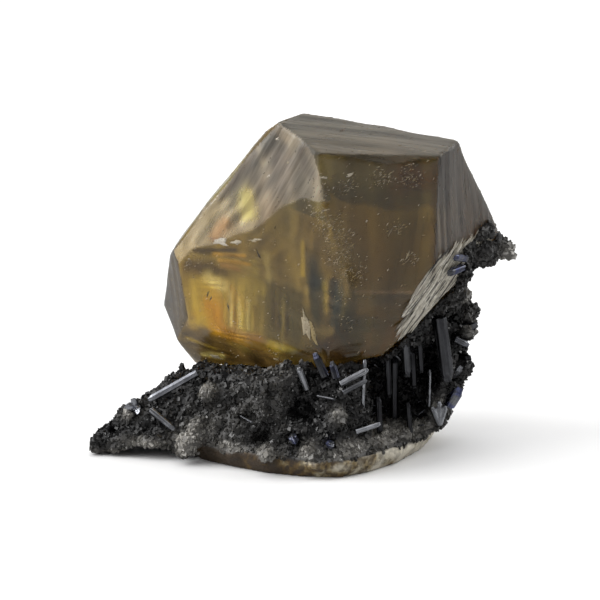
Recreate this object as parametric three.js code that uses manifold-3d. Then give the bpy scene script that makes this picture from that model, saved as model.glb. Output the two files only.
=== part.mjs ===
// Stibnite on calcite: one large see-through crystal on dark drusy rock, with metallic prisms around it.
// Millimetres, +Z up. The specimen rests on the flat cut of its rock at z = 0, its best side facing -Y.

import * as THREE from 'three';
import { ConvexGeometry } from 'three/addons/geometries/ConvexGeometry.js';
import { MeshSurfaceSampler } from 'three/addons/math/MeshSurfaceSampler.js';
import { mergeVertices } from 'three/addons/utils/BufferGeometryUtils.js';
import Module from 'manifold-3d';

const wasm = await Module();
wasm.setup();
const { Manifold, Mesh: SolidMesh } = wasm;
const { degToRad, lerp, seededRandom } = THREE.MathUtils;

// ---------------------------------------------------------------- driving dimensions

// Pieces that grew against each other are modelled with this gap between their skins.
const GAP = 0.3;

// Slivers thinner than this are merged away where solids are joined.
const FACET_TOLERANCE = 0.04;

// The crystal is what is left inside its faces. Each face has a direction, as its azimuth
// (degrees from +X towards +Y) and its tilt above the horizontal (degrees), and its distance
// in mm from the crystal's centre. They are cut from a blank block, larger than the crystal.
const CRYSTAL_CENTRE = [2, 0, 28];
const BLANK_SIZE = 120;
const CRYSTAL_FACES = {
  top: [-78, 59, 21.3],
  upper_left: [-128.5, 1, 9.0],
  front: [-83, 3, 12.4],
  right: [-40.5, 1, 19.3],
  pale_side: [-37.5, -25, 16.6],
  lower_front: [-82, -23.5, 12.4],
  left_front: [-123.5, -8, 7.6],
  left: [-153, -8.5, 15.7],
  lower_left: [-129, -28.5, 11.7],
  bottom: [-11, -78.5, 13.9],
  right_under: [-12, -44.5, 16.0],
  left_mid: [168, 15.5, 21.0],
  lower_left_back: [176, -31, 24.9],
  left_back: [175, 37, 16.7],
  shoulder: [137, 55, 17.2],
  back_left: [140, 34, 19.0],
  back: [95, 4, 16.0],
  back_right: [55, -8, 18.0],
  right_back: [30, 31, 21.6],
  upper_back: [100, 40, 17.0],
  top_back: [72, 54.5, 15.3],
};

// Growth steps: shallow grooves cut along a face and out over its edges. Each runs from one point
// to another, given as [x, z] in the plane of the face, and has a width and a depth.
const GROWTH_GROOVES = [
  { face: 'upper_left', from: [-1.4, 49.0], to: [-20.0, 24.8], width: 1.0, depth: 0.22 },
  { face: 'upper_left', from: [0.2, 48.2], to: [-19.0, 23.4], width: 0.6, depth: 0.15 },
  { face: 'upper_left', from: [1.8, 47.4], to: [-16.6, 23.2], width: 1.2, depth: 0.25 },
  { face: 'upper_left', from: [3.0, 45.8], to: [-13.4, 24.6], width: 0.8, depth: 0.18 },
  { face: 'upper_left', from: [3.6, 43.6], to: [-9.6, 26.6], width: 1.1, depth: 0.22 },
  { face: 'pale_side', from: [22.8, 30.0], to: [11.6, 16.8], width: 0.5, depth: 0.3 },
  { face: 'pale_side', from: [23.8, 29.0], to: [12.6, 16.2], width: 0.4, depth: 0.35 },
  { face: 'pale_side', from: [24.4, 28.2], to: [13.8, 16.2], width: 0.6, depth: 0.35 },
];

// Chips knocked out of the crystal: centre of a small ball that bites into the surface, and its radius.
const CHIPS = [
  { at: [-11.4, -3.9, 30.5], radius: 1.3 },
  { at: [-8.4, -5.6, 31.4], radius: 1.1 },
  { at: [3.0, -13.2, 39.4], radius: 1.4 },
  { at: [7.2, -13.2, 39.9], radius: 1.3 },
];

// The rock, as overlapping faceted blocks, each the hull of its corners.
const SOLE_OUTLINE = [
  [-15, -5.5], [-10, -9], [-5.6, -11.6], [0, -13.4], [5.5, -14], [10, -11.4], [14.2, -7.2], [18.2, -0.5],
  [20.2, 6], [18, 12], [10, 15.5], [0, 16.5], [-10, 14.5], [-16.5, 9], [-18, 2],
];
const SOLE_HEIGHT = 3.0;
const SOLE_UNDERCUT = 0.95;
const SOLE_SHOULDER = 0.99;

const ROCK_BLOCKS = {
  tongue_tip: [
    [-30.5, -3.0, 1.0], [-30.2, -2.4, 2.4], [-29.2, -0.6, 3.4], [-28.9, 1.6, 2.2], [-28.6, 1.4, 0.0],
    [-28.4, -2.4, 0.0], [-23.6, -5.0, 1.6], [-23.6, -4.4, 3.4], [-23.8, -1.0, 6.9], [-23.4, 1.6, 7.0],
    [-23.0, 5.4, 3.0], [-23.0, 5.4, 0.0], [-23.0, -3.0, 0.0],
  ],
  tongue_root: [
    [-23.8, -4.9, 1.6], [-23.8, -4.2, 3.6], [-24.0, -1.0, 6.7], [-23.6, 1.6, 6.8], [-23.4, 5.4, 3.0],
    [-23.4, 5.4, 0.0], [-23.4, -3.0, 0.0], [-14.0, -5.8, 1.2], [-14.0, -5.4, 4.0], [-14.0, -2.6, 10.0],
    [-15.6, 0.0, 11.6], [-16.6, 2.4, 11.4], [-17.0, 7.0, 10.4], [-16.0, 11.0, 4.0], [-16.0, 11.0, 0.0],
    [-14.0, -3.0, 0.0],
  ],
  front_left: [
    [-16.0, -5.4, 2.2], [-16.0, -3.6, 8.0], [-15.4, 0.0, 12.2], [-15.6, 10.0, 11.0], [-16.0, 10.0, 2.0],
    [-5.4, -12.0, 2.4], [-5.2, -11.4, 5.4], [-5.0, -9.2, 12.8], [-5.4, -6.4, 13.5], [-4.0, 14.0, 13.4],
    [-4.0, 15.0, 2.0],
  ],
  front_middle: [
    [-6.4, -11.6, 2.4], [-6.2, -11.0, 5.4], [-7.0, -8.2, 12.4], [-6.4, -6.4, 13.4], [-6.0, 14.0, 13.4],
    [-6.0, 15.0, 2.0], [5.4, -13.6, 2.6], [5.6, -12.4, 6.0], [6.0, -9.6, 13.8], [6.4, -6.6, 17.4],
    [7.0, 12.0, 15.0], [7.0, 14.6, 2.0],
  ],
  front_right: [
    [4.6, -13.4, 2.6], [4.8, -12.2, 6.0], [5.2, -9.4, 13.8], [6.0, -6.6, 17.0], [9.6, -10.6, 3.0],
    [8.8, -8.6, 9.0], [8.6, -7.0, 17.0], [9.6, 2.0, 17.0], [10.4, 2.0, 3.0], [5.0, 2.0, 3.0],
  ],
  back_right: [
    [9.0, 1.6, 2.0], [9.0, 1.6, 17.0], [17.6, 2.6, 2.0], [17.8, 2.4, 17.6], [19.6, 6.0, 3.0],
    [19.6, 7.0, 16.0], [16.0, 12.0, 14.0], [16.0, 13.0, 2.0], [5.0, 14.0, 13.0], [5.0, 15.4, 2.0],
  ],
  hollow_floor: [
    [8.0, -11.6, 2.0], [8.0, -10.8, 3.8], [13.8, -7.4, 2.0], [13.6, -6.8, 3.6], [18.4, -0.6, 2.4],
    [18.2, 0.4, 4.2], [19.6, 6.0, 2.0], [18.0, 6.0, 5.0], [9.0, 4.0, 4.4],
  ],
  hollow_roof: [
    [11.0, -6.8, 15.2], [13.6, -6.8, 17.6], [18.4, -4.2, 21.8], [22.4, -1.6, 25.2], [23.6, 0.6, 22.6],
    [16.4, -4.8, 16.8], [19.6, -2.8, 18.4], [11.0, 3.0, 13.6], [19.6, 5.0, 14.6], [23.0, 6.0, 18.6],
    [23.8, 4.0, 24.4], [12.0, 4.0, 18.0],
  ],
  wall_low: [
    [17.6, -2.4, 2.6], [20.2, -1.2, 3.4], [22.2, 0.2, 6.0], [23.0, 0.8, 8.4], [22.6, 0.0, 10.4],
    [19.6, -2.4, 9.6], [18.2, -2.8, 6.0], [17.4, 5.0, 2.4], [20.2, 7.6, 2.4], [22.0, 8.0, 9.0],
    [17.6, 6.0, 9.6],
  ],
  wall_middle: [
    [19.8, -2.0, 9.0], [22.8, -0.4, 9.2], [23.8, 0.8, 12.4], [23.2, 0.8, 15.6], [23.4, 1.2, 17.0],
    [20.2, -1.8, 16.6], [18.6, 6.0, 8.6], [22.4, 8.4, 10.0], [22.8, 8.4, 16.6], [18.8, 7.4, 16.8],
  ],
  wall_top: [
    [19.6, -1.6, 15.8], [23.8, -0.2, 16.4], [25.0, 1.6, 18.2], [25.0, 2.2, 20.6], [23.6, 2.2, 22.2],
    [22.2, 1.2, 22.8], [19.8, -1.6, 20.4], [19.4, 8.0, 15.6], [23.8, 8.4, 17.6], [23.4, 7.6, 21.6],
    [21.0, 7.0, 22.0],
  ],
  neck: [
    [21.8, -2.6, 23.0], [23.2, -1.2, 23.0], [23.6, 2.6, 22.4], [22.0, 2.6, 22.4], [21.6, -4.2, 27.0],
    [23.6, -2.6, 27.4], [24.0, 1.5, 27.4], [22.6, 2.0, 27.0],
  ],
  knob_root: [
    [20.8, -7.9, 30.1], [22.8, -6.3, 31.2], [24.0, -5.0, 32.3], [25.8, -3.0, 33.6], [26.8, -1.4, 33.0],
    [21.6, -5.8, 28.2], [23.0, -4.0, 27.0], [24.8, -1.6, 27.2], [27.4, 1.0, 27.8], [24.0, 2.0, 28.2],
    [27.6, 3.0, 31.4],
  ],
  knob: [
    [25.6, -2.4, 27.8], [28.4, 0.4, 28.0], [29.4, 2.0, 28.4], [29.6, 2.4, 30.2], [29.0, 1.8, 30.6],
    [27.6, 0.4, 31.6], [26.8, -0.8, 33.0], [26.0, -1.8, 33.6], [26.0, 4.6, 28.6], [28.8, 5.0, 29.2],
    [28.0, 4.6, 31.2], [26.6, 3.6, 32.6],
  ],
};

// Hollows in the rock: corners of the faceted void that is cut away.
const ROCK_HOLLOWS = {
  wall_hole: [
    [20.4, -4, 18.0], [22.6, -4, 17.6], [23.4, -4, 19.6], [22.6, -4, 21.2], [20.8, -4, 20.8],
    [20.6, 3.2, 18.6], [22.4, 3.6, 18.4], [22.6, 3.6, 20.2], [21.0, 3.2, 20.4],
  ],
  slope_hollow: [
    [-2.4, -14, 7.0], [2.4, -14, 6.8], [2.8, -14, 9.6], [-0.6, -14, 11.0], [-3.0, -14, 9.0],
    [-1.2, -8.8, 8.2], [1.6, -8.8, 8.0], [0.4, -8.4, 9.8],
  ],
  low_hollow: [
    [-8.4, -14, 3.6], [-3.6, -14, 3.4], [-4.2, -14, 6.4], [-7.8, -14, 6.2], [-6.8, -8.6, 4.4],
    [-4.8, -8.8, 4.4], [-5.6, -8.4, 5.6],
  ],
  wall_notch: [
    [23.0, -3, 7.0], [26.0, -3, 7.4], [26.0, -3, 8.6], [23.2, -3, 8.8], [23.0, 9, 7.2], [26.0, 9, 7.0],
    [26.0, 9, 9.0], [23.4, 9, 8.6],
  ],
};

// Druse: the crust of small lumpy crystals over the rock. Each lump is the hull of corners strewn
// evenly over a ball, then jittered in their turn (radians) and their reach (share of the radius).
const DRUSE_SEED = 41;
const DRUSE_COUNT = 145;
const DRUSE_RADIUS = [1.15, 2.1];
const DRUSE_SPACING = 2.35;
const DRUSE_FLOOR = 2.3;
const DRUSE_SINK = 0.45;
const DRUSE_CORNERS = 11;
const DRUSE_CLEARANCE = 0.35;
const TRIES_PER_LUMP = 30;
const LUMP_JITTER = 0.9;
const LUMP_REACH = [0.85, 1.1];
const GOLDEN_ANGLE = Math.PI * (3 - Math.sqrt(5));
const NAMED_LUMPS = [
  { at: [-15.9, -6.6, 2.9], radius: 2.0 },
  { at: [-15.0, -5.8, 4.6], radius: 1.7 },
  { at: [-4.9, -11.6, 3.0], radius: 1.9 },
  { at: [1.0, -12.8, 3.2], radius: 1.5 },
  { at: [-13.0, -4.8, 9.6], radius: 2.0 },
  { at: [-11.4, -6.4, 6.2], radius: 1.6 },
  { at: [4.6, -11.6, 7.6], radius: 1.9 },
  { at: [26.2, -1.2, 33.0], radius: 1.4 },
  { at: [27.6, 0.6, 31.2], radius: 1.3 },
  { at: [28.9, 2.6, 29.6], radius: 1.4 },
  { at: [27.6, 1.4, 28.8], radius: 1.4 },
  { at: [25.4, -2.4, 30.2], radius: 1.6 },
  { at: [23.8, 2.6, 22.0], radius: 1.2 },
  { at: [24.6, 2.6, 19.6], radius: 1.4 },
];

// Stibnite prisms: where each is rooted, where its tip is, and how wide and how thick it is.
// Those in one list entry with several members have grown together.
const PRISMS = {
  blade_long: [{ root: [-14.9, -1.9, 12.0], tip: [-22.0, -2.4, 8.0], width: 1.15, thickness: 0.8 }],
  blade_short: [{ root: [-21.6, -3.2, 6.9], tip: [-18.1, -5.2, 4.5], width: 1.1, thickness: 0.8 }],
  rosette: [
    { root: [-23.4, -1.2, 6.4], tip: [-25.3, -2.8, 7.4], width: 1.5, thickness: 0.8 },
    { root: [-23.6, -1.2, 6.2], tip: [-24.2, -2.4, 8.4], width: 1.4, thickness: 0.8 },
    { root: [-23.6, -1.2, 6.6], tip: [-23.3, -3.4, 6.4], width: 1.3, thickness: 0.9 },
  ],
  tongue_stub: [{ root: [-27.2, -1.8, 3.6], tip: [-27.9, -3.6, 4.4], width: 0.9, thickness: 0.7 }],
  front_post: [{ root: [0.8, -9.0, 11.6], tip: [-0.4, -9.2, 15.0], width: 1.0, thickness: 0.7 }],
  edge_left: [{ root: [3.4, -9.4, 13.6], tip: [1.8, -8.4, 16.9], width: 1.3, thickness: 0.8 }],
  edge_right: [{ root: [4.9, -10.2, 13.6], tip: [4.2, -9.4, 16.0], width: 1.1, thickness: 0.8 }],
  pair_upper: [{ root: [5.4, -11.0, 13.0], tip: [9.4, -9.9, 14.9], width: 0.9, thickness: 0.6 }],
  pair_lower: [{ root: [5.8, -11.4, 11.9], tip: [9.2, -10.5, 13.5], width: 0.8, thickness: 0.6 }],
  thin_post: [{ root: [8.5, -8.6, 6.4], tip: [8.9, -8.5, 15.9], width: 0.7, thickness: 0.5 }],
  low_cross: [{ root: [7.6, -11.0, 6.0], tip: [11.2, -9.8, 6.9], width: 0.9, thickness: 0.6 }],
  needle_left: [{ root: [-8.6, -8.2, 7.5], tip: [-6.8, -10.6, 7.2], width: 0.5, thickness: 0.4 }],
  needle_right: [{ root: [2.2, -10.0, 11.0], tip: [4.8, -11.8, 11.0], width: 0.5, thickness: 0.4 }],
  low_left: [{ root: [-1.2, -11.0, 5.2], tip: [-1.0, -13.3, 5.3], width: 1.6, thickness: 1.3 }],
  low_right: [{ root: [4.0, -12.0, 4.6], tip: [4.1, -13.9, 4.9], width: 1.5, thickness: 1.2 }],
  column_front: [{ root: [14.7, -4.6, 17.2], tip: [15.1, -4.6, 12.1], width: 1.4, thickness: 1.1 }],
  column_slim: [{ root: [16.6, -3.6, 18.8], tip: [17.1, -3.6, 12.4], width: 0.95, thickness: 0.8 }],
  column_large: [{ root: [19.6, -3.2, 20.6], tip: [20.9, -3.5, 11.0], width: 2.1, thickness: 1.4 }],
  column_bright: [{ root: [18.3, -2.6, 7.2], tip: [18.3, -3.4, 12.9], width: 0.6, thickness: 0.5 }],
  column_left: [{ root: [12.2, -3.2, 15.8], tip: [12.5, -3.4, 8.6], width: 1.0, thickness: 0.8 }],
  column_back: [{ root: [13.4, -0.8, 3.6], tip: [13.3, -0.9, 14.2], width: 1.3, thickness: 1.0 }],
  column_dark: [{ root: [15.8, -1.0, 16.8], tip: [16.2, -1.2, 9.2], width: 1.1, thickness: 0.9 }],
  column_stub: [{ root: [11.2, -5.4, 3.6], tip: [10.9, -5.0, 9.4], width: 1.0, thickness: 0.8 }],
  column_small: [{ root: [15.6, -3.2, 3.4], tip: [15.2, -3.4, 8.0], width: 0.9, thickness: 0.7 }],
  wall_upper: [{ root: [23.2, 0.8, 17.8], tip: [25.2, -0.8, 18.9], width: 1.4, thickness: 1.0 }],
  wall_ledge: [{ root: [21.9, -1.3, 16.9], tip: [24.0, -1.2, 15.8], width: 1.2, thickness: 0.9 }],
  wall_stub: [{ root: [22.8, 0.8, 13.6], tip: [24.4, -0.6, 13.9], width: 1.1, thickness: 0.9 }],
  wall_pale: [{ root: [21.6, -0.2, 10.8], tip: [22.9, -1.9, 13.0], width: 1.2, thickness: 0.9 }],
  wall_blue: [{ root: [21.2, -0.6, 6.6], tip: [22.8, -1.9, 9.8], width: 1.8, thickness: 1.0 }],
  wall_spray: [
    { root: [19.9, -1.6, 4.2], tip: [18.7, -3.3, 7.4], width: 0.9, thickness: 0.7 },
    { root: [19.9, -1.6, 4.2], tip: [19.7, -3.4, 8.2], width: 0.9, thickness: 0.7 },
    { root: [19.9, -1.6, 4.2], tip: [20.7, -2.9, 7.4], width: 0.9, thickness: 0.7 },
  ],
  side_upper: [{ root: [23.2, -5.0, 29.6], tip: [21.2, -8.1, 30.6], width: 1.2, thickness: 0.7 }],
  side_lower: [{ root: [22.8, -5.0, 28.4], tip: [20.3, -7.9, 28.2], width: 1.3, thickness: 0.8 }],
  back_left: [{ root: [-11.6, 11.4, 6.2], tip: [-14.2, 13.6, 8.0], width: 1.1, thickness: 0.8 }],
  back_middle: [{ root: [-3.6, 13.4, 7.6], tip: [-5.6, 16.0, 10.2], width: 1.3, thickness: 0.9 }],
  back_right: [{ root: [8.4, 12.4, 8.0], tip: [11.0, 15.2, 9.4], width: 1.2, thickness: 0.9 }],
  back_corner: [{ root: [17.2, 9.0, 8.0], tip: [20.4, 11.2, 6.8], width: 1.1, thickness: 0.8 }],
};
// A prism has six sides, and its thickness is measured over two opposite flats.
const PRISM_SIDES = 6;
const FLAT_TO_CORNER = 1 / Math.cos(Math.PI / PRISM_SIDES);
// The chisel-shaped end of a prism: its length and its edge, as shares of the width.
const TIP_LENGTH = 0.7;
const TIP_EDGE = 0.25;

// ---------------------------------------------------------------- materials

const calcite = new THREE.MeshStandardMaterial({
  name: 'calcite', color: 0x8a7440, roughness: 0.08, metalness: 0, transparent: true, opacity: 0.55,
});
const rock = new THREE.MeshStandardMaterial({ name: 'rock', color: 0x2c2a29, roughness: 0.7, metalness: 0 });
const stibnite = new THREE.MeshStandardMaterial({ name: 'stibnite', color: 0x767b84, roughness: 0.35, metalness: 0.85 });

// ---------------------------------------------------------------- helpers

const vector = ([x, y, z]) => new THREE.Vector3(x, y, z);

// A closed three.js geometry as a solid, with its shared corners merged.
function solidOf(geometry) {
  const bare = geometry.clone();
  bare.deleteAttribute('normal');
  bare.deleteAttribute('uv');
  const merged = mergeVertices(bare, 1e-5);
  return new Manifold(new SolidMesh({
    numProp: 3,
    vertProperties: new Float32Array(merged.attributes.position.array),
    triVerts: new Uint32Array(merged.index.array),
  }));
}

// A solid as a three.js geometry.
function geometryOf(solid) {
  const mesh = solid.getMesh();
  const geometry = new THREE.BufferGeometry();
  geometry.setAttribute('position', new THREE.BufferAttribute(mesh.vertProperties.slice(), 3));
  geometry.setIndex(new THREE.BufferAttribute(mesh.triVerts.slice(), 1));
  return geometry;
}

// The hull of a list of corners, as a solid.
function hull(corners) {
  return solidOf(new ConvexGeometry(corners.map((corner) => (corner.isVector3 ? corner : vector(corner)))));
}

// The main body of a solid, without loose crumbs and sealed bubbles.
function largestBody(solid) {
  return solid.decompose().sort((a, b) => b.volume() - a.volume())[0];
}

// The outward direction of a crystal face.
function faceNormal([azimuth, tilt]) {
  const a = degToRad(azimuth);
  const t = degToRad(tilt);
  return new THREE.Vector3(Math.cos(t) * Math.cos(a), Math.cos(t) * Math.sin(a), Math.sin(t));
}

// ---------------------------------------------------------------- calcite crystal

const crystalCentre = vector(CRYSTAL_CENTRE);
const faces = Object.entries(CRYSTAL_FACES).map(([name, face]) => {
  const normal = faceNormal(face);
  return { name, normal, offset: normal.dot(crystalCentre) + face[2] };
});

// The crystal, with every face moved outwards by the given amount.
function crystalBlock(grow) {
  let block = Manifold.cube([BLANK_SIZE, BLANK_SIZE, BLANK_SIZE], true).translate(CRYSTAL_CENTRE);
  for (const { normal, offset } of faces) {
    block = block.trimByPlane(normal.clone().negate().toArray(), -(offset + grow));
  }
  return block;
}

// How far a point lies outside the crystal; negative inside it.
function heightAboveCrystal(point) {
  return Math.max(...faces.map(({ normal, offset }) => normal.dot(point) - offset));
}

// The point of a face at a given x and z.
function pointOnFace(face, [x, z]) {
  const { normal, offset } = face;
  return new THREE.Vector3(x, (offset - normal.x * x - normal.z * z) / normal.y, z);
}

// A long wedge to cut a groove with. It is twice the groove's depth high, and half of it is in the air.
function grooveCutter({ face: name, from, to, width, depth }) {
  const face = faces.find((entry) => entry.name === name);
  const ends = [pointOnFace(face, from), pointOnFace(face, to)];
  const along = ends[1].clone().sub(ends[0]).normalize();
  const side = new THREE.Vector3().crossVectors(face.normal, along);
  const corners = ends.flatMap((end) => [
    end.clone().addScaledVector(side, width).addScaledVector(face.normal, depth),
    end.clone().addScaledVector(side, -width).addScaledVector(face.normal, depth),
    end.clone().addScaledVector(face.normal, -depth),
  ]);
  return hull(corners);
}

function makeCrystal() {
  const grooves = GROWTH_GROOVES.map(grooveCutter);
  const chips = CHIPS.map(({ at, radius }) => solidOf(new THREE.IcosahedronGeometry(radius, 1)).translate(at));
  return crystalBlock(0).subtract(Manifold.union([...grooves, ...chips]));
}

// ---------------------------------------------------------------- matrix rock

// The flat-bottomed sole of the rock, undercut so that its rim swells outwards.
function makeSole() {
  const ring = (scale, height) => SOLE_OUTLINE.map(([x, y]) => [x * scale, y * scale, height]);
  return hull([...ring(SOLE_UNDERCUT, 0), ...ring(1, SOLE_HEIGHT / 2), ...ring(SOLE_SHOULDER, SOLE_HEIGHT)]);
}

// One small faceted lump: the hull of corners strewn over a ball.
function makeLump(centre, radius) {
  const corners = [];
  for (let i = 0; i < DRUSE_CORNERS; i += 1) {
    const height = 1 - (2 * (i + 0.5)) / DRUSE_CORNERS;
    const turn = i * GOLDEN_ANGLE + seededRandom() * LUMP_JITTER;
    const reach = radius * lerp(...LUMP_REACH, seededRandom());
    const ring = Math.sqrt(1 - height * height);
    corners.push(new THREE.Vector3(ring * Math.cos(turn), ring * Math.sin(turn), height).multiplyScalar(reach));
  }
  const tumble = new THREE.Euler(seededRandom() * Math.PI, seededRandom() * Math.PI, seededRandom() * Math.PI);
  return hull(corners.map((corner) => corner.applyEuler(tumble).add(centre)));
}

// Lumps strewn evenly over the rock's free skin, clear of its sole and of the crystal.
function makeDruse(core) {
  seededRandom(DRUSE_SEED);
  const lumps = NAMED_LUMPS.map(({ at, radius }) => makeLump(vector(at), radius));
  const sampler = new MeshSurfaceSampler(new THREE.Mesh(geometryOf(core).toNonIndexed()));
  sampler.setRandomGenerator(() => seededRandom());
  sampler.build();
  const placed = [];
  const point = new THREE.Vector3();
  const outward = new THREE.Vector3();
  for (let tries = 0; tries < DRUSE_COUNT * TRIES_PER_LUMP && placed.length < DRUSE_COUNT; tries += 1) {
    sampler.sample(point, outward);
    const free = point.z > DRUSE_FLOOR && heightAboveCrystal(point) > DRUSE_CLEARANCE;
    if (free && placed.every((other) => other.distanceTo(point) > DRUSE_SPACING)) {
      placed.push(point.clone());
      const radius = lerp(...DRUSE_RADIUS, seededRandom() ** 2);
      lumps.push(makeLump(point.clone().addScaledVector(outward, -radius * DRUSE_SINK), radius));
    }
  }
  return lumps;
}

// ---------------------------------------------------------------- stibnite prisms

// One six-sided prism with a chisel tip, every side moved outwards by the given amount.
function prismBody({ root, tip, width, thickness }, grow) {
  const along = vector(tip).sub(vector(root)).normalize();
  const start = vector(root).addScaledVector(along, -grow);
  const end = vector(tip).addScaledVector(along, grow);
  const across = new THREE.Vector3().crossVectors(along, new THREE.Vector3(0, 1, 0)).normalize();
  const deep = new THREE.Vector3().crossVectors(across, along);
  const ring = (centre) => Array.from({ length: PRISM_SIDES }, (_, side) => {
    const angle = (side * 2 * Math.PI) / PRISM_SIDES;
    return centre.clone()
      .addScaledVector(across, (width / 2 + grow) * Math.cos(angle))
      .addScaledVector(deep, (thickness / 2 + grow) * Math.sin(angle) * FLAT_TO_CORNER);
  });
  const shoulder = end.clone().addScaledVector(along, -TIP_LENGTH * width);
  const edge = [-1, 1].map((side) => end.clone().addScaledVector(across, side * TIP_EDGE * width));
  return hull([...ring(start), ...ring(shoulder), ...edge]);
}

// Prisms that have grown together, as one solid.
function prismGroup(members, grow = 0) {
  return Manifold.union(members.map((member) => prismBody(member, grow))).simplify(FACET_TOLERANCE);
}

// ---------------------------------------------------------------- the rock, fitted around the rest

function makeRock() {
  const blocks = Object.values(ROCK_BLOCKS).map(hull);
  const hollows = Object.values(ROCK_HOLLOWS).map(hull);
  const core = Manifold.union([makeSole(), ...blocks]).subtract(Manifold.union(hollows));
  const seat = crystalBlock(GAP);
  const bare = core.subtract(seat);
  const crusted = Manifold.union([core, ...makeDruse(bare)]);
  const sockets = Object.values(PRISMS).map((members) => prismGroup(members, GAP));
  const fitted = crusted.trimByPlane([0, 0, 1], 0).subtract(seat).subtract(Manifold.union(sockets));
  return largestBody(fitted.simplify(FACET_TOLERANCE));
}

// ---------------------------------------------------------------- the specimen

const specimen = new THREE.Group();

function add(name, solid, material) {
  const mesh = new THREE.Mesh(geometryOf(solid), material);
  mesh.name = name;
  specimen.add(mesh);
}

add('calcite_crystal', makeCrystal(), calcite);
add('matrix_rock', makeRock(), rock);
for (const [name, members] of Object.entries(PRISMS)) {
  add(`stibnite_${name}`, prismGroup(members).subtract(crystalBlock(GAP)), stibnite);
}

export default specimen;
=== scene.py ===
# %% [markdown]
# # A clear golden calcite crystal on dark rock with stibnite prisms
# The specimen is a see-through crystal that grew on a crust of tiny dark crystals. Metallic prisms
# of stibnite stick out of that crust. The solid model gives every piece its place and size, and this
# script gives each piece its surface. The floor, the light and the camera come first, because glassy
# things show little but their surroundings.

# %% Load the frame
import math

import bmesh
import bpy
import numpy as np
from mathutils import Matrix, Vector


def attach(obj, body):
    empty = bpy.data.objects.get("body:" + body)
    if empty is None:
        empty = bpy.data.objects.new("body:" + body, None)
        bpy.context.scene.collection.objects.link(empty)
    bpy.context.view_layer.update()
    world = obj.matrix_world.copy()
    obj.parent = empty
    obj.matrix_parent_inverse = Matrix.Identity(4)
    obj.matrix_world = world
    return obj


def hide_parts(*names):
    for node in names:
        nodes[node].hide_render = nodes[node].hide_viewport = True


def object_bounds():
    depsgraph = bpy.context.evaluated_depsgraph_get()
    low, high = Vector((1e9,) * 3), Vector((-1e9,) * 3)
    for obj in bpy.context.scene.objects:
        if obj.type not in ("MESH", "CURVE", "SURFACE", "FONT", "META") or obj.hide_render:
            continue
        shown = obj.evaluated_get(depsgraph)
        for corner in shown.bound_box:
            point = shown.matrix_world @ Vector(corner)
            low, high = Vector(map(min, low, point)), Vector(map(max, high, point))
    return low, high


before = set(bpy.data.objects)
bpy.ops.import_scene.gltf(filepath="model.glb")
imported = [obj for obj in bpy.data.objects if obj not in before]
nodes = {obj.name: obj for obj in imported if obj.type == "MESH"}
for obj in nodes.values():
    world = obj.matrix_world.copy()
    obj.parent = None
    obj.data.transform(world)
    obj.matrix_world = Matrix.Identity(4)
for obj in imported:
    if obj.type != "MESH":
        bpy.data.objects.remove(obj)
cad_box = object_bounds()
MM = 0.001
print("frame:", len(nodes), "nodes, box in mm:", [[round(v / MM, 1) for v in c] for c in cad_box])

# %% [markdown]
# ## Camera
# The camera stands a little above the specimen and looks down at it by fifteen degrees, from a fair
# distance through a long lens, so that edges which are parallel on the stone stay nearly parallel.
# The aim point is in the middle of the frame, a little below the middle of the crystal.

# %% Camera
CAMERA_RISE = math.radians(15)
CAMERA_DISTANCE = 400 * MM
AIM = Vector((-0.214, 0, 22.28)) * MM
LENS_MM = 168
SENSOR_MM = 36
NEAREST_SEEN = 10 * MM


def add_object(name, data):
    """Puts a new object with some data into the scene."""
    made = bpy.data.objects.new(name, data)
    bpy.context.scene.collection.objects.link(made)
    return made


def make_camera():
    """A camera in front of the specimen, raised by CAMERA_RISE, aimed at AIM."""
    data = bpy.data.cameras.new("camera")
    data.lens = LENS_MM
    data.sensor_width = SENSOR_MM
    data.clip_start = NEAREST_SEEN
    camera = add_object("camera", data)
    back = Vector((0, -math.cos(CAMERA_RISE), math.sin(CAMERA_RISE)))
    camera.location = AIM + back * CAMERA_DISTANCE
    camera.rotation_euler = (math.pi / 2 - CAMERA_RISE, 0, 0)
    bpy.context.scene.camera = camera
    return camera


camera = make_camera()
print("camera at", [round(v / MM, 1) for v in camera.location])

# %% [markdown]
# ## Floor and light
# A studio for minerals has a white sweep, big soft boxes at the sides and above, and little light
# from the camera's own side, so that the front faces of the stone keep their own colour. The world
# is plain white where the camera looks past the stone, and a soft grey room for every other ray.

# %% Node helpers
def fill(tree, target, inputs):
    """Gives a node's inputs their values: constants, sockets, or nodes, whose first output is taken."""
    for key, value in inputs.items():
        if isinstance(value, bpy.types.Node):
            value = value.outputs[0]
        if isinstance(value, bpy.types.NodeSocket):
            tree.links.new(value, target.inputs[key])
        elif value is not None:
            target.inputs[key].default_value = value


def node(tree, kind, inputs=(), **properties):
    """Adds a node, sets its plain properties and fills its inputs."""
    made = tree.nodes.new(kind)
    for key, value in properties.items():
        setattr(made, key, value)
    fill(tree, made, dict(inputs))
    return made


def maths(tree, operation, first, second=None, clamp=False):
    """A Math node; each operand is a number or an output socket."""
    made = node(tree, "ShaderNodeMath", {0: first, 1: second}, operation=operation, use_clamp=clamp)
    return made.outputs[0]


def scaled(tree, value, factor, offset, clamp=False):
    """A value times a factor plus an offset."""
    return maths(tree, "ADD", maths(tree, "MULTIPLY", value, factor), offset, clamp)


def rgba(value):
    """A grey or a colour as the four numbers that a socket takes; a socket stays as it is."""
    if isinstance(value, bpy.types.NodeSocket):
        return value
    return (value, value, value, 1) if isinstance(value, (int, float)) else (*value, 1)


def ramp(tree, factor, stops):
    """A colour ramp with stops given as (position, grey or colour)."""
    made = node(tree, "ShaderNodeValToRGB", {"Fac": factor})
    elements = made.color_ramp.elements
    while len(elements) < len(stops):
        elements.new(0.5)
    for element, (position, colour) in zip(elements, stops):
        element.position = position
        element.color = rgba(colour)
    return made.outputs["Color"]


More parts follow.
